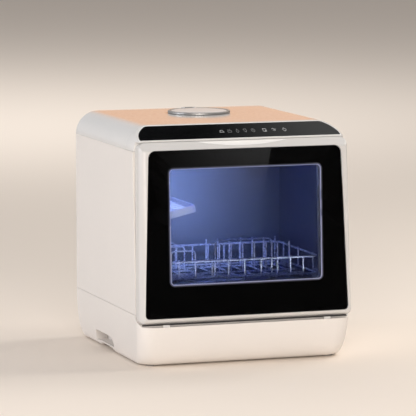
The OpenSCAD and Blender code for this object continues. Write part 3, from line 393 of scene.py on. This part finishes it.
# control housing: sloping nose across the front of the top, its edges rounded over
SA = math.atan(26.6 / 57.0); CS, SS = math.cos(SA), math.sin(SA)
def SL(p):
    """Slope frame: x, distance down the slope from its upper edge, height above it."""
    return Vector((p[0], -121 - p[1] * CS - p[2] * SS, 455 - p[1] * SS + p[2] * CS))
def sec(i, n=20):
    return arc(BW - 45, 410, 45 - i, 0, 90, n) + arc(-(BW - 45), 410, 45 - i, 90, 180, n)
def nose_ring(y, zlow):
    """Cross section of the housing at y: rounded shoulders, narrowing a little towards the nose, soft edge to the slope."""
    nar = 4.0 * max(0.0, (-130 - y) / 48) ** 2.2
    zc = 455 - max(0.0, -121 - y) * SS / CS
    q_ = 4.5 * smooth((-120.5 - y) / 8)
    thc = math.asin(min(1.0, (zc - 410) / 45))
    xc = BW - 45 - nar + 45 * math.cos(thc)
    th1 = thc - q_ / 45
    half = [(BW - nar, zlow)] + [(BW - 45 - nar + 45 * math.cos(th1 * k / 14), 410 + 45 * math.sin(th1 * k / 14)) for k in range(15)]
    ax_, az_ = half[-1]
    for k in range(1, 7):
        t = k / 6
        half.append((ax_ * (1 - t) ** 2 + xc * 2 * t * (1 - t) + (xc - q_ - 0.01) * t * t, az_ * (1 - t) ** 2 + zc * 2 * t * (1 - t) + zc * t * t))
    pts = half + [(-x, z) for x, z in half[::-1]]
    return [(x, y, z) for x, z in pts]
hous = loft("control_shell", [nose_ring(y, 405.0) for y in (-119.4, -120.2, -121.0, -121.8, -123, -125, -128, -132, -137, -143, -149, -155, -160, -165, -169, -172, -175, -177.3)], M["top_white_painted_lighter"])
cut(hous, [prism("c", [(-200, 380), (-100, 380), (-100, 410.2), (-166.4, 410.2), (-165.5, 427.45), (-200, 427.45)], -240, 240, "x", white)])
def strip_poly(c, n=28):
    """Outline of the control glass in the slope frame; its ends follow the rounded corners of the cabinet."""
    s0, s1 = 3.86 + c, 58.04 - c
    e_ = [(203.0 - 24.5 * max(0.0, 1 - (s0 + (s1 - s0) * k / n - 3.86) / 54.2) ** 2.2 - c, s0 + (s1 - s0) * k / n) for k in range(n + 1)]
    pts = [(-x, s) for x, s in e_] + [(x, s) for x, s in e_[::-1]]
    rad = [0.0] * len(pts)
    rad[0] = 15; rad[n] = 3.2; rad[n + 1] = 3.2; rad[-1] = 15
    keep = [i for i in range(len(pts)) if i not in (1, 2, 3, 4, n - 2, n - 1, n + 2, n + 3, len(pts) - 2, len(pts) - 3, len(pts) - 4, len(pts) - 5)]
    return fillet([pts[i] for i in keep], [rad[i] for i in keep], 8)
cs = []
hin = prism("hin", [(BW - 4, 380.0)] + sec(4) + [(-(BW - 4), 380.0)], -190, -110, "y", white)
cut(hin, [prism("c", [(-105, 455 - 4.7), (-121, 455 - 4.7), (-162.4, 455 - 41.4 * SS / CS - 4.7), (-163, 404), (-105, 404)], -240, 240, "x", white)], "INTERSECT")
cs.append(hin)
cs.append(block("c", (-212, -163, 400), (212, -105, 415), white))
cs.append(prism("c", strip_poly(0), -2.4, 8, "z", white, SL))
cs.append(block("c", (-14, 10, 303), (14, 60, 320.5), white, DL))
TX = [-31.7 + 15.9 * k + (7.5 if k > 4 else 0) + (3.5 if k > 5 else 0) + (5 if k > 6 else 0) for k in range(8)]
for x in TX:
    cs.append(prism("c", arc(x, 32.0, 3.1, 0, 345, 23), -8, 2, "z", white, SL))
cut(hous, cs)
put(hous, "cabinet", slots["control_housing"], "control_housing")

def inset_poly(p, d):
    """Moves a convex outline inwards by d."""
    n, out = len(p), []
    area_ = sum(p[i][0] * p[(i + 1) % n][1] - p[(i + 1) % n][0] * p[i][1] for i in range(n))
    sg = 1 if area_ > 0 else -1
    for i in range(n):
        a, b, c = Vector(p[i - 1]), Vector(p[i]), Vector(p[(i + 1) % n])
        u, v = (b - a).normalized(), (c - b).normalized()
        m = (Vector((-u.y, u.x)) + Vector((-v.y, v.x))) * sg
        if m.length < 1e-9:
            m = Vector((-u.y, u.x)) * sg
        m.normalize()
        k = max(0.5, m.dot(Vector((-u.y, u.x)) * sg))
        out.append((b.x + m.x * d / k, b.y + m.y * d / k))
    return out
sp0 = strip_poly(0.25)
sp1 = inset_poly(sp0, 0.35)
cg = loft("control_pane", [[(x, s, -2.4) for x, s in sp0], [(x, s, -0.35) for x, s in sp0], [(x, s, -0.1) for x, s in inset_poly(sp0, 0.1)], [(x, s, 0.0) for x, s in sp1]], M[slots["control_glass"]], xf=SL)
put(cg, "cabinet", slots["control_glass"], "control_glass", deg=12)
t0, t1 = strip_poly(-0.75), strip_poly(0.12)
# the rim line carries the weakly glowing white: a painted highlight
trim = loft("strip_trim", [[(x, s, -0.6) for x, s in t1], [(x, s, 0.12) for x, s in strip_poly(0.1)], [(x, s, 0.26) for x, s in strip_poly(-0.12)], [(x, s, 0.26) for x, s in strip_poly(-0.5)], [(x, s, 0.02) for x, s in t0], [(x, s, -0.6) for x, s in t0]], M["trim_painted_highlight"], cap=False, closed=True, xf=SL)
put(trim, "cabinet", slots["control_housing"], deg=60)

# infills behind the rounded upper corners of the front frame, where the side seam meets the door gap
for s, nm in ((-1, "left"), (1, "right")):
    pc = prism("corner_infill_" + nm, [(s * 212.1, 301.9), (s * 212.1, 309.9), (s * 204.1, 309.9)] + [(s * (204.2 + 7.7 * math.sin(math.radians(a))), 302 + 7.7 * math.cos(math.radians(a))) for a in range(0, 91, 10)], 16.4, 19.2, "y", M["side_plastic"], DL)
    put(pc, "cabinet", "side_plastic")

# fill lid: shallow dome in a bright rim, hinge barrel at the rear
LX, LY = 6.0, 96.0
prof = [(0, 457.9), (57.2, 457.9), (57.8, 457.3), (58, 456.6), (58, 455.5), (61.4, 455.5), (61.9, 455.8), (62, 456.3), (62, 458.7), (61.6, 459.7), (60.6, 460.3), (59.0, 460.4),
        (57.4, 460.2), (56.5, 459.6), (55.9, 459.2), (55.1, 459.3), (53.5, 459.75), (48, 460.35), (38, 460.85), (24, 461.1), (10, 461.2), (0, 461.22)]
def lid_surface():
    seg = 128
    v = [(LX, LY, 457.9)]
    body_ = prof[1:-1]
    n = len(body_)
    for j in range(seg):
        a = 2 * math.pi * j / seg
        v += [(LX + r * math.cos(a), LY + r * math.sin(a), h) for r, h in body_]
    v.append((LX, LY, 461.22))
    f, mi = [], []
    for j in range(seg):
        k = (j + 1) % seg
        f.append([0, 1 + k * n, 1 + j * n]); mi.append(0)
        for i in range(n - 1):
            f.append([1 + j * n + i, 1 + k * n + i, 1 + k * n + i + 1, 1 + j * n + i + 1]); mi.append(1 if i >= 14 else 2 if i >= 8 else 0)
        f.append([1 + j * n + n - 1, 1 + k * n + n - 1, len(v) - 1]); mi.append(1)
    return v, f, mi
v, f, mi = lid_surface()
lid = obj("lid_dome", v, f, [M[slots["fill_lid"]], M["lid_white"], M["rim_satin"]], mi=mi)
cut(lid, [block("c", (LX + s * 11 - 3.4, LY + 53, 455), (LX + s * 11 + 3.4, LY + 72, 463), M[slots["fill_lid"]]) for s in (-1, 1)])
put(lid, "fill_lid", slots["fill_lid"], "fill_lid")
barrel = prism("lid_barrel", fillet([(152, 457.8), (152, 460.2), (158, 460.4)] + arc(161, 458.4, 2.8, 90, -180, 14), 0), LX - 7.4, LX + 7.4, "x", M[slots["fill_lid"]])
cut(barrel, [prism("c", arc(161, 458.4, 1.56, 0, 345, 23), LX - 20, LX + 20, "x", M[slots["fill_lid"]])])
bevel(barrel, 0.35, 45, 2)
put(barrel, "fill_lid", slots["fill_lid"], "fill_lid")

# touch marks: thin line pictograms laid on the control glass
def strokes(name, lines, w, mats, x0, s0, k=1.0, h0=0.02, h1=0.10):
    """Flat lines w wide; points are (x, up the slope) about (x0, s0)."""
    v, f = [], []
    for line, closed in lines:
        pts = [Vector(p) * k for p in line]
        n = len(pts)
        m = n if closed else n - 1
        L_, R_ = [], []
        for i in range(n):
            a = pts[(i - 1) % n] if (closed or i > 0) else pts[i]
            b = pts[(i + 1) % n] if (closed or i < n - 1) else pts[i]
            u = (pts[i] - a).normalized() if (pts[i] - a).length > 1e-9 else (b - pts[i]).normalized()
            t = (b - pts[i]).normalized() if (b - pts[i]).length > 1e-9 else u
            mm = (Vector((-u.y, u.x)) + Vector((-t.y, t.x)))
            mm.normalize()
            c = max(0.55, mm.dot(Vector((-u.y, u.x))))
            off = mm * (w / 2 / c)
            L_.append(pts[i] + off); R_.append(pts[i] - off)
        base_ = len(v)
        for h in (h0, h1):
            for q_ in (L_, R_):
                v += [SL((x0 + p.x, s0 - p.y * 1.7, h)) for p in q_]
        for i in range(m):
            j = (i + 1) % n
            a, b, c, d = base_ + i, base_ + j, base_ + n + j, base_ + n + i
            e_, g, hh, kk = a + 2 * n, b + 2 * n, c + 2 * n, d + 2 * n
            f += [[a, d, c, b], [e_, g, hh, kk], [a, b, g, e_], [d, kk, hh, c]]
        if not closed:
            f += [[base_, base_ + 2 * n, base_ + 3 * n, base_ + n], [base_ + n - 1, base_ + 2 * n - 1, base_ + 4 * n - 1, base_ + 3 * n - 1]]
    return obj(name, v, f, mats)

def circ(cx_, cy_, r, a0=0, a1=360, n=20):
    p = arc(cx_, cy_, r, a0, a1, n)
    return (p[:-1], True) if abs(a1 - a0) >= 360 else (p, False)
ICONS = [
    [circ(0, -1.2, 3.4, 0, 180, 14), ([(-4.4, -1.9), (4.4, -1.9)], False)],                                                                  # covered plate
    [([(-3.6, 0.6), (-3.1, -2.6), (3.1, -2.6), (3.6, 0.6)], True), ([(-1.6, 1.9), (-1.1, 2.9), (-1.6, 3.9)], False), ([(1.2, 1.9), (1.7, 2.9), (1.2, 3.9)], False)],   # steaming bowl
    [circ(0, -0.8, 2.4, 150, 390, 16), ([(-2.08, 0.4), (0, 3.6), (2.08, 0.4)], False)],                                                      # drop
    [([(-2.6, 3.2), (2.6, 3.2), (2.1, -1.0), (0.6, -2.0), (0.6, -3.2), (2.0, -3.4), (-2.0, -3.4), (-0.6, -3.2), (-0.6, -2.0), (-2.1, -1.0)], True)],   # goblet
    [circ(0, 0, 3.3), ([(0, 2.1), (0, 0), (1.6, -0.9)], False)],                                                                             # clock
    [([(-3.0, 2.6), (3.0, 2.6), (3.0, -2.8), (-3.0, -2.8)], True), ([(-0.4, -2.8), (3.0, 0.4)], False)],                                        # drawer with a folded corner
    [([(-4.2, 1.5), (-2.1, 2.5), (0, 1.5), (2.1, 0.5), (4.2, 1.5)], False), ([(-2.6, -1.5), (-0.9, -0.7), (0.9, -1.7), (2.6, -1.1)], False)],    # drying air
    [circ(0, -0.3, 3.0, 120, 420, 22), ([(0, 0.6), (0, 3.6)], False)],                                                                        # power
]
# marks 1, 6, 7 and 8 take the stronger painted glow, the others the weaker one
for k, x in enumerate(TX):
    ic = strokes("touch_mark_%d" % (k + 1), ICONS[k], 0.55, M["mark_bright_painted_glow"] if k in (0, 5, 6, 7) else M["mark_dim_painted_glow"], x, 32.0, 1.05)
    put(ic, "cabinet", "light_plastic", deg=0)

# ------------------------------------------------------------------ pieces of the door
def outline(wb, wt, z0, z1, rb, rt, nb=52, nc=14, ns=20, nt=108):
    """Matching samples round a shape symmetric about x = 0: lower edge, right corner, right side, top edge, left side."""
    p = [(-(wb - rb) + 2 * (wb - rb) * k / nb, z0) for k in range(nb)]
    p += arc(wb - rb, z0 + rb, rb, 270, 360, nc)[:-1]
    p += [(wb + (wt - wb) * k / ns, z0 + rb + (z1 - rt - z0 - rb) * k / ns) for k in range(ns)]
    p += arc(wt - rt, z1 - rt, rt, 0, 90, nc)[:-1]
    p += [((wt - rt) - 2 * (wt - rt) * k / nt, z1) for k in range(nt)]
    p += arc(-(wt - rt), z1 - rt, rt, 90, 180, nc)[:-1]
    p += [(-(wt + (wb - wt) * k / ns), z1 - rt + (z0 + rb - z1 + rt) * k / ns) for k in range(ns)]
    p += arc(-(wb - rb), z0 + rb, rb, 180, 270, nc)[:-1]
    return p
NB, NC, NS, NT = 52, 14, 20, 108
lowness = [1.0] * NB + [1 - smooth(k / NC) for k in range(NC)] + [0.0] * (NS + NC + NT + NC + NS) + [smooth(k / NC) for k in range(NC)]
OUT = outline(214.5, 210.5, -15.0, 326.6, 9, 14)
GLS = outline(204.4, 194.0, -6.0, 311.5, 8, 14)
WIN = outline(163.5, 163.5, 45.0, 287.0, 14, 14)
HOL = outline(206.0, 206.0, 17.0, 309.0, 10, 10)
REB = outline(208.4, 208.4, 12.0, 316.3, 8, 8)
S15, C15 = math.sin(math.radians(15)), math.cos(math.radians(15))
def scoop_off(x, y, z):
    if abs(x) < 97 and y < 1.4:
        return min(z, 317.5 + (x * x / 800.0 - (min(y, -1.5) + 10) * S15) / C15 + max(0.0, y + 1.5) * 4.0)
    return z
def facet(y, z):
    """Keeps a point behind the flat sloping band along the door's upper edge."""
    if z > 326.3:
        return max(y, 2.0 + (z - 326.3) * 3.0)
    if z > 325.7:
        return max(y, 1.2 + (z - 325.7) * 4 / 3)
    return max(y, 1.2 - (325.7 - z) / 0.8896) if z > 311 else y
rows = []
for y in (15.0, 14.49, 12.99, 10.6, 7.5, 4.08, 3.98, 1.5, 0.0):
    r_ = []
    for x, z in OUT:
        z = max(z, -math.sqrt(max(0.0, 225.0 - y * y)))
        if y > 3.6:
            z = min(z, 326.5 - (y - 3.6) * 5.5 / 11.4)
        yy = facet(y, z)
        r_.append((x, yy, z))
    rows.append(r_)
front, last = [[] for _ in range(12)], []
for i, ((ox, oz), (gx, gz)) in enumerate(zip(OUT, GLS)):
    D = math.hypot(gx - ox, gz - oz)
    ux, uz = (gx - ox) / D, (gz - oz) / D
    rf = 15 - 3 * lowness[i]
    lim = D - 0.3 - 0.5
    if lim <= rf:
        tot = rf * math.acos(1 - lim / rf)
    else:
        tot = rf * math.pi / 2 + lim - rf
    for k in range(12):
        s = tot * k / 11
        if s <= rf * math.pi / 2:
            d, y = rf * (1 - math.cos(s / rf)), -15.2 + rf - rf * math.sin(s / rf)
        else:
            d, y = rf + s - rf * math.pi / 2, -15.2
        x, z = ox + ux * d, oz + uz * d
        y = facet(y, z)
        front[k].append((x, y, z))
    last.append((ox + ux * (D - 0.3), y, oz + uz * (D - 0.3)))
rows += front
rows.append([(x + 0.0, y + 0.15, z) for (x, y, z) in [((a[0] * 0.4 + b[0] * 0.6), a[1] * 0.5 + b[1] * 0.5, (a[2] * 0.4 + b[2] * 0.6)) for a, b in zip(front[-1], last)]])
rows.append([(x, y + 0.6, z) for x, y, z in last])
rows.append([(x, -10.0, z) for x, y, z in last])
rows.append([(x, -10.0, z) for x, z in WIN])
rows.append([(x, -7.6, z) for x, z in WIN])
rows.append([(x, -7.6, z) for x, z in HOL])
rows.append([(x, 11.9, z) for x, z in HOL])
rows.append([(x, 11.9, z) for x, z in REB])
rows.append([(x, 15.0, z) for x, z in REB])
door = loft("door_shell", rows, [white, M["scoop_painted_highlight"]], cap=False, closed=True, xf=DL)
def recess(x):
    """Outline of the finger scoop's cutter at x: sloping floor, steep rear wall; the faces it leaves get a lighter
    white, a painted highlight.
    """
    zf = lambda y: 317.5 + (x * x / 800.0 - (y + 10) * S15) / C15
    yb = 0.8 - max(0.0, 325.34 - zf(-1.5)) * 0.23
    return [(x, -30.0, zf(-30.0)), (x, yb, min(zf(yb), 325.3)), (x, 0.8, 325.34), (x, 0.8, 350.0), (x, -30.0, 350.0)]
cutter = loft("c", [recess(-95 + 190 * k / 76) for k in range(77)], [white, M["scoop_painted_highlight"]], xf=DL)
# the faces the cut leaves on the scoop's wall take the lighter white: a painted highlight
for pl in cutter.data.polygons:
    pl.material_index = 1
cut(door, [cutter])
cut(door, [block("c", (s * 150 - 5.6, -8.2, -20), (s * 150 + 5.6, 20, 8.2), white, DL) for s in (-1, 1)]
    + [block("c", (s * 150 - 13.4, -8.2, -8.2), (s * 150 + 13.4, 20, 18.0), white, DL) for s in (-1, 1)])
put(door, "door", slots["door_frame"], "door_frame", deg=29)

def ringed(ol, d):
    return inset_poly(ol, d)
g0 = outline(204.4, 194.0, -6.0, 311.5, 8, 14, 20, 8, 12, 20)
glass = loft("door_pane", [[(x, -11.0, z) for x, z in g0], [(x, -14.5, z) for x, z in g0], [(x, -14.78, z) for x, z in inset_poly(g0, 0.14)], [(x, -14.9, z) for x, z in inset_poly(g0, 0.4)]], M[slots["door_glass"]], xf=DL)
put(glass, "door", slots["door_glass"], "door_glass", deg=12)

# black print behind the glass; round the window a lilac emission fades outwards from its edge over 4.5 mm: a painted
# glow
b0 = outline(204.0, 193.6, -5.6, 311.1, 8, 14, 20, 8, 12, 20)
wf = lambda d: outline(151.5 + d, 151.5 + d, 57.0 - d, 275.0 + d, max(1.0, 7 + d), max(1.0, 7 + d), 20, 8, 12, 20)
WE = 4.5
border = loft("window_print", [[(x, y, z) for x, z in o_] for o_, y in ((b0, -10.1), (b0, -11.0), (wf(WE), -11.0), (wf(0), -11.0), (wf(0), -10.1), (wf(WE), -10.1))], [M[slots["glass_border"]], M["print_edge_painted_glow"]], cap=False, closed=True, xf=DL)
at = border.data.attributes.new("glow", "FLOAT", "POINT")
gl = []
for v_ in border.data.vertices:
    p = Vector(v_.co) / MM
    yl, zl = (p.y + 199) * C3 - (p.z - 101) * S3, (p.y + 199) * S3 + (p.z - 101) * C3
    gl.append(1.0 if (abs(p.x) < 151.5 + 0.2 and 57 - 0.2 < zl < 275 + 0.2) else 0.0)
at.data.foreach_set("value", gl)
for pl in border.data.polygons:
    g_ = [gl[i] for i in pl.vertices]
    if max(g_) > 0.5:
        pl.material_index = 1
put(border, "door", slots["glass_border"], "glass_border", deg=12)

# flush perforated plate over the drying air duct in the rear wall of the tub
vp, fp = [], []
gr = lathe("duct_screen", [(13.6, 0), (13.9, -0.3), (13.6, -0.9), (12.4, -1.2), (0.6, -1.5), (0.6, -0.4), (12.4, 0.0)], (130, 113.4, 330), M[slots["tub"]], 40, "y")
cut(gr, [prism("c", arc(130 + r_ * math.cos(a), 330 + r_ * math.sin(a), 0.95, 0, 315, 7), 100, 120, "y", M[slots["tub"]])
         for r_, n_ in ((3.6, 6), (7.0, 12), (10.4, 18)) for a in [2 * math.pi * j / n_ for j in range(n_)]])
put(gr, "cabinet", slots["tub"])

# ------------------------------------------------------------------ camera
CAM = Vector((-1919.92, -5585.26, 994.10)) * MM
AIM = Vector((31.68, 115.30, 261.07)) * MM
cd = bpy.data.cameras.new("cam"); cam = bpy.data.objects.new("cam", cd)
bpy.context.scene.collection.objects.link(cam); bpy.context.scene.camera = cam
back = (CAM - AIM).normalized()
right = Vector((0, 0, 1)).cross(back).normalized()
up = back.cross(right)
cam.matrix_world = Matrix(((right.x, up.x, back.x, CAM.x), (right.y, up.y, back.y, CAM.y), (right.z, up.z, back.z, CAM.z), (0, 0, 0, 1)))
FPX = 3030.04
cd.sensor_width = 36.0; cd.lens = FPX * 36.0 / 416.0; cd.clip_end = 100.0

def ray(px, py):
    d = right * ((px - 208) / FPX) - up * ((py - 208) / FPX) - back
    return d.normalized()

def mirror_hit(px, py, plane_y):
    """Where the reflection of a picture point in the door glass meets the vertical plane y = plane_y (metres)."""
    d = ray(px, py)
    n = Vector((0, -C3, S3))
    p0 = DL((0, -14.9, 150)) * MM
    t = (p0 - CAM).dot(n) / d.dot(n)
    p = CAM + d * t
    r = d - 2 * d.dot(n) * n
    return p + r * ((plane_y - p.y) / r.y)

# ------------------------------------------------------------------ stage and light
def stage_mat(name, col, rough=0.9, emit=0.0):
    m, nt, b = new_mat(name)
    nz = nt.nodes.new("ShaderNodeTexNoise"); nz.inputs["Scale"].default_value = 1.5
    mx = nt.nodes.new("ShaderNodeMix"); mx.data_type = "RGBA"
    nt.links.new(nz.outputs[0], mx.inputs[0])
    mx.inputs[6].default_value = (*[c * 0.985 for c in col], 1); mx.inputs[7].default_value = (*col, 1)
    nt.links.new(mx.outputs[2], b.inputs["Base Color"])
    b.inputs["Roughness"].default_value = rough
    b.inputs["Specular IOR Level"].default_value = 0.1
    if emit:
        b.inputs["Emission Color"].default_value = (*col, 1); b.inputs["Emission Strength"].default_value = emit
    return m

floor = obj("floor", [(-30000, -30000, 0), (30000, -30000, 0), (30000, 30000, 0), (-30000, 30000, 0)], [[0, 1, 2, 3]], stage_mat("floor", (0.93, 0.84, 0.75)), fix=False)
flag_m = stage_mat("flag", (0.045, 0.045, 0.045))
FY = -1.7
fx0, fx1 = mirror_hit(146, 160, FY).x - 0.25, mirror_hit(350, 300, FY).x + 0.25
flag = obj("flag", [(fx0 * 1000, FY * 1000, 0), (fx1 * 1000, FY * 1000, 0), (fx1 * 1000, FY * 1000, 640), (fx0 * 1000, FY * 1000, 640)], [[0, 1, 2, 3]], flag_m, fix=False)
def only_reflected(o, glass=True):
    """Seen in reflections only, also those from the rear face of the glass: it neither shades nor shows."""
    o.visible_camera = False; o.visible_diffuse = False; o.visible_shadow = False; o.visible_transmission = glass
only_reflected(flag)
# a dim soft card in front of the flag: its mirror image gives the slanted sheen on the upper left of the glass
q = [mirror_hit(x, y, FY + 0.02) * 1000 for x, y in ((272.5, 140), (262, 205), (120, 212), (120, 140))]
cm, cnt, cb = new_mat("card")
cb.inputs["Base Color"].default_value = (0, 0, 0, 1)
vc = cnt.nodes.new("ShaderNodeAttribute"); vc.attribute_name = "glow"
ml = cnt.nodes.new("ShaderNodeMath"); ml.operation = "MULTIPLY"; ml.inputs[1].default_value = 0.42
cnt.links.new(vc.outputs["Fac"], ml.inputs[0]); cnt.links.new(ml.outputs[0], cb.inputs["Emission Strength"])
cb.inputs["Emission Color"].default_value = (1.0, 0.985, 0.95, 1)
NX, NY = 16, 12
cv, cw = [], []
for j in range(NY + 1):
    for i in range(NX + 1):
        u, v = i / NX, j / NY
        cv.append(list((q[0].lerp(q[3], u)).lerp(q[1].lerp(q[2], u), v)))
        cw.append((1 - smooth(u * 1.05)) ** 1.2 * (1 - 0.85 * smooth(v)))
cf = [[j * (NX + 1) + i, j * (NX + 1) + i + 1, (j + 1) * (NX + 1) + i + 1, (j + 1) * (NX + 1) + i] for j in range(NY) for i in range(NX)]
card = obj("card", cv, cf, cm, fix=False)
at = card.data.attributes.new("glow", "FLOAT", "POINT"); at.data.foreach_set("value", cw)
only_reflected(card)
# a dark plate overhead, lighter to the right: the control glass mirrors it
def strip_hit(px, py, plane_z):
    d = ray(px, py)
    n = Vector((0, -SS, CS))
    p0 = SL((0, 30, 0)) * MM
    t = (p0 - CAM).dot(n) / d.dot(n)
    p = CAM + d * t
    r = d - 2 * d.dot(n) * n
    return p + r * ((plane_z - p.z) / r.z)
q = [strip_hit(x, y, 2.0) * 1000 for x, y in ((128, 118), (352, 112), (352, 146), (128, 152))]
pm, pnt, pb = new_mat("plate")
pb.inputs["Base Color"].default_value = (0, 0, 0, 1); pb.inputs["Specular IOR Level"].default_value = 0.0
vc = pnt.nodes.new("ShaderNodeAttribute"); vc.attribute_name = "glow"
pnt.links.new(vc.outputs["Fac"], pb.inputs["Emission Strength"]); pb.inputs["Emission Color"].default_value = (1.0, 1.0, 0.99, 1)
cv, cw = [], []
for j in range(5):
    for i in range(25):
        u, v = i / 24, j / 4
        cv.append(list((q[0].lerp(q[1], u)).lerp(q[3].lerp(q[2], u), v)))
        cw.append(0.0 + 0.36 * smooth((u - 0.30) / 0.62))
cf = [[j * 25 + i, j * 25 + i + 1, (j + 1) * 25 + i + 1, (j + 1) * 25 + i] for j in range(4) for i in range(24)]
plate = obj("plate", cv, cf, pm, fix=False)
at = plate.data.attributes.new("glow", "FLOAT", "POINT"); at.data.foreach_set("value", cw)
only_reflected(plate, False)

def area(name, loc, aim, size, power, col=(1, 1, 1), sy=None):
    d = bpy.data.lights.new(name, "AREA"); d.energy = power; d.color = col
    d.shape = "RECTANGLE"; d.size = size; d.size_y = sy or size
    o = bpy.data.objects.new(name, d); bpy.context.scene.collection.objects.link(o)
    o.location = loc
    o.rotation_euler = (Vector(aim) - Vector(loc)).to_track_quat("-Z", "Y").to_euler()
    return o

area("key", (-1.0, -3.1, 1.0), (0, 0, 0.2), 1.6, 67, (1.0, 0.94, 0.895))
area("left", (-2.9, 0.3, 0.95), (0, 0, 0.26), 1.2, 31.5, (0.89, 0.925, 1.0))
area("far", (0.6, 4.5, 3.2), (0.9, 7.5, 0.0), 3.0, 90, (1.0, 0.98, 0.96))
area("top", (2.2, 0.2, 2.4), (0, 0, 0.3), 1.9, 54, (1.0, 0.96, 0.91))
w = bpy.data.worlds.new("world"); bpy.context.scene.world = w; w.use_nodes = True
wn, wl = w.node_tree.nodes, w.node_tree.links
bg = wn["Background"]
tcw = wn.new("ShaderNodeTexCoord"); sp = wn.new("ShaderNodeSeparateXYZ"); wl.new(tcw.outputs["Generated"], sp.inputs[0])
el = wn.new("ShaderNodeMapRange"); el.interpolation_type = "SMOOTHSTEP"
el.inputs[1].default_value = 0.32; el.inputs[2].default_value = 0.16
wl.new(sp.outputs["Z"], el.inputs[0])
bk = wn.new("ShaderNodeMapRange"); bk.interpolation_type = "SMOOTHSTEP"; bk.inputs[1].default_value = -0.1; bk.inputs[2].default_value = 0.35
wl.new(sp.outputs["Y"], bk.inputs[0])
rt = wn.new("ShaderNodeMapRange"); rt.interpolation_type = "SMOOTHSTEP"; rt.inputs[1].default_value = 0.04; rt.inputs[2].default_value = 0.26
wl.new(sp.outputs["X"], rt.inputs[0])
m0 = wn.new("ShaderNodeMath"); m0.operation = "MULTIPLY"; wl.new(rt.outputs[0], m0.inputs[0]); wl.new(bk.outputs[0], m0.inputs[1])
mu = wn.new("ShaderNodeMath"); mu.operation = "MULTIPLY"; wl.new(el.outputs[0], mu.inputs[0]); wl.new(m0.outputs[0], mu.inputs[1])
wm = wn.new("ShaderNodeMix"); wm.data_type = "RGBA"; wl.new(mu.outputs[0], wm.inputs[0])
wm.inputs[6].default_value = (0.92, 0.91, 0.91, 1); wm.inputs[7].default_value = (1.3, 0.56, 0.17, 1)
# the upper left of the room is dimmer, so that the rounded left shoulder reads darker than the side
dp = wn.new("ShaderNodeVectorMath"); dp.operation = "DOT_PRODUCT"; wl.new(tcw.outputs["Generated"], dp.inputs[0]); dp.inputs[1].default_value = Vector((-0.58, -0.45, 0.68)).normalized()
dm = wn.new("ShaderNodeMapRange"); dm.interpolation_type = "SMOOTHSTEP"; dm.inputs[1].default_value = 0.35; dm.inputs[2].default_value = 0.80; dm.inputs[3].default_value = 0.72; dm.inputs[4].default_value = 0.08
wl.new(dp.outputs["Value"], dm.inputs[0])
rd = wn.new("ShaderNodeMapRange"); rd.interpolation_type = "SMOOTHSTEP"; rd.inputs[1].default_value = 0.35; rd.inputs[2].default_value = 0.85; rd.inputs[3].default_value = 1.0; rd.inputs[4].default_value = 0.35
wl.new(sp.outputs["X"], rd.inputs[0])
rm = wn.new("ShaderNodeMath"); rm.operation = "MULTIPLY"; wl.new(dm.outputs[0], rm.inputs[0]); wl.new(rd.outputs[0], rm.inputs[1]); wl.new(rm.outputs[0], bg.inputs[1])
wl.new(wm.outputs[2], bg.inputs[0])
# light inside the tub
def point(name, loc, power, col, r=0.02):
    d = bpy.data.lights.new(name, "POINT"); d.energy = power; d.color = col; d.shadow_soft_size = r
    o = bpy.data.objects.new(name, d); bpy.context.scene.collection.objects.link(o); o.location = loc
    return o
def inside(o, spread=180, glossy=False):
    """Light in the tub: not seen itself, only what it lights."""
    o.visible_camera = False; o.visible_transmission = False; o.visible_glossy = glossy
    o.data.spread = math.radians(spread)
inside(area("tub_top", (-0.11, -0.13, 0.390), (-0.11, 0.17, 0.23), 0.14, 3.3, (0.44, 0.56, 1.0), 0.06), 98)
inside(area("tub_front", (-0.02, -0.160, 0.385), (-0.04, 0.05, 0.22), 0.24, 0.40, (0.03, 0.09, 1.0), 0.02), 120)
inside(area("front_fill", (-0.10, -0.166, 0.30), (-0.15, 0.0, 0.27), 0.08, 0.10, (0.90, 0.93, 1.0), 0.14), 110)
inside(area("rack_kick", (0.0, -0.168, 0.165), (0.0, -0.14, 0.18), 0.30, 0.20, (0.90, 0.92, 1.0), 0.012), 60)
bpy.context.scene.view_settings.view_transform = "Standard"
bpy.context.scene.view_settings.look = "None"
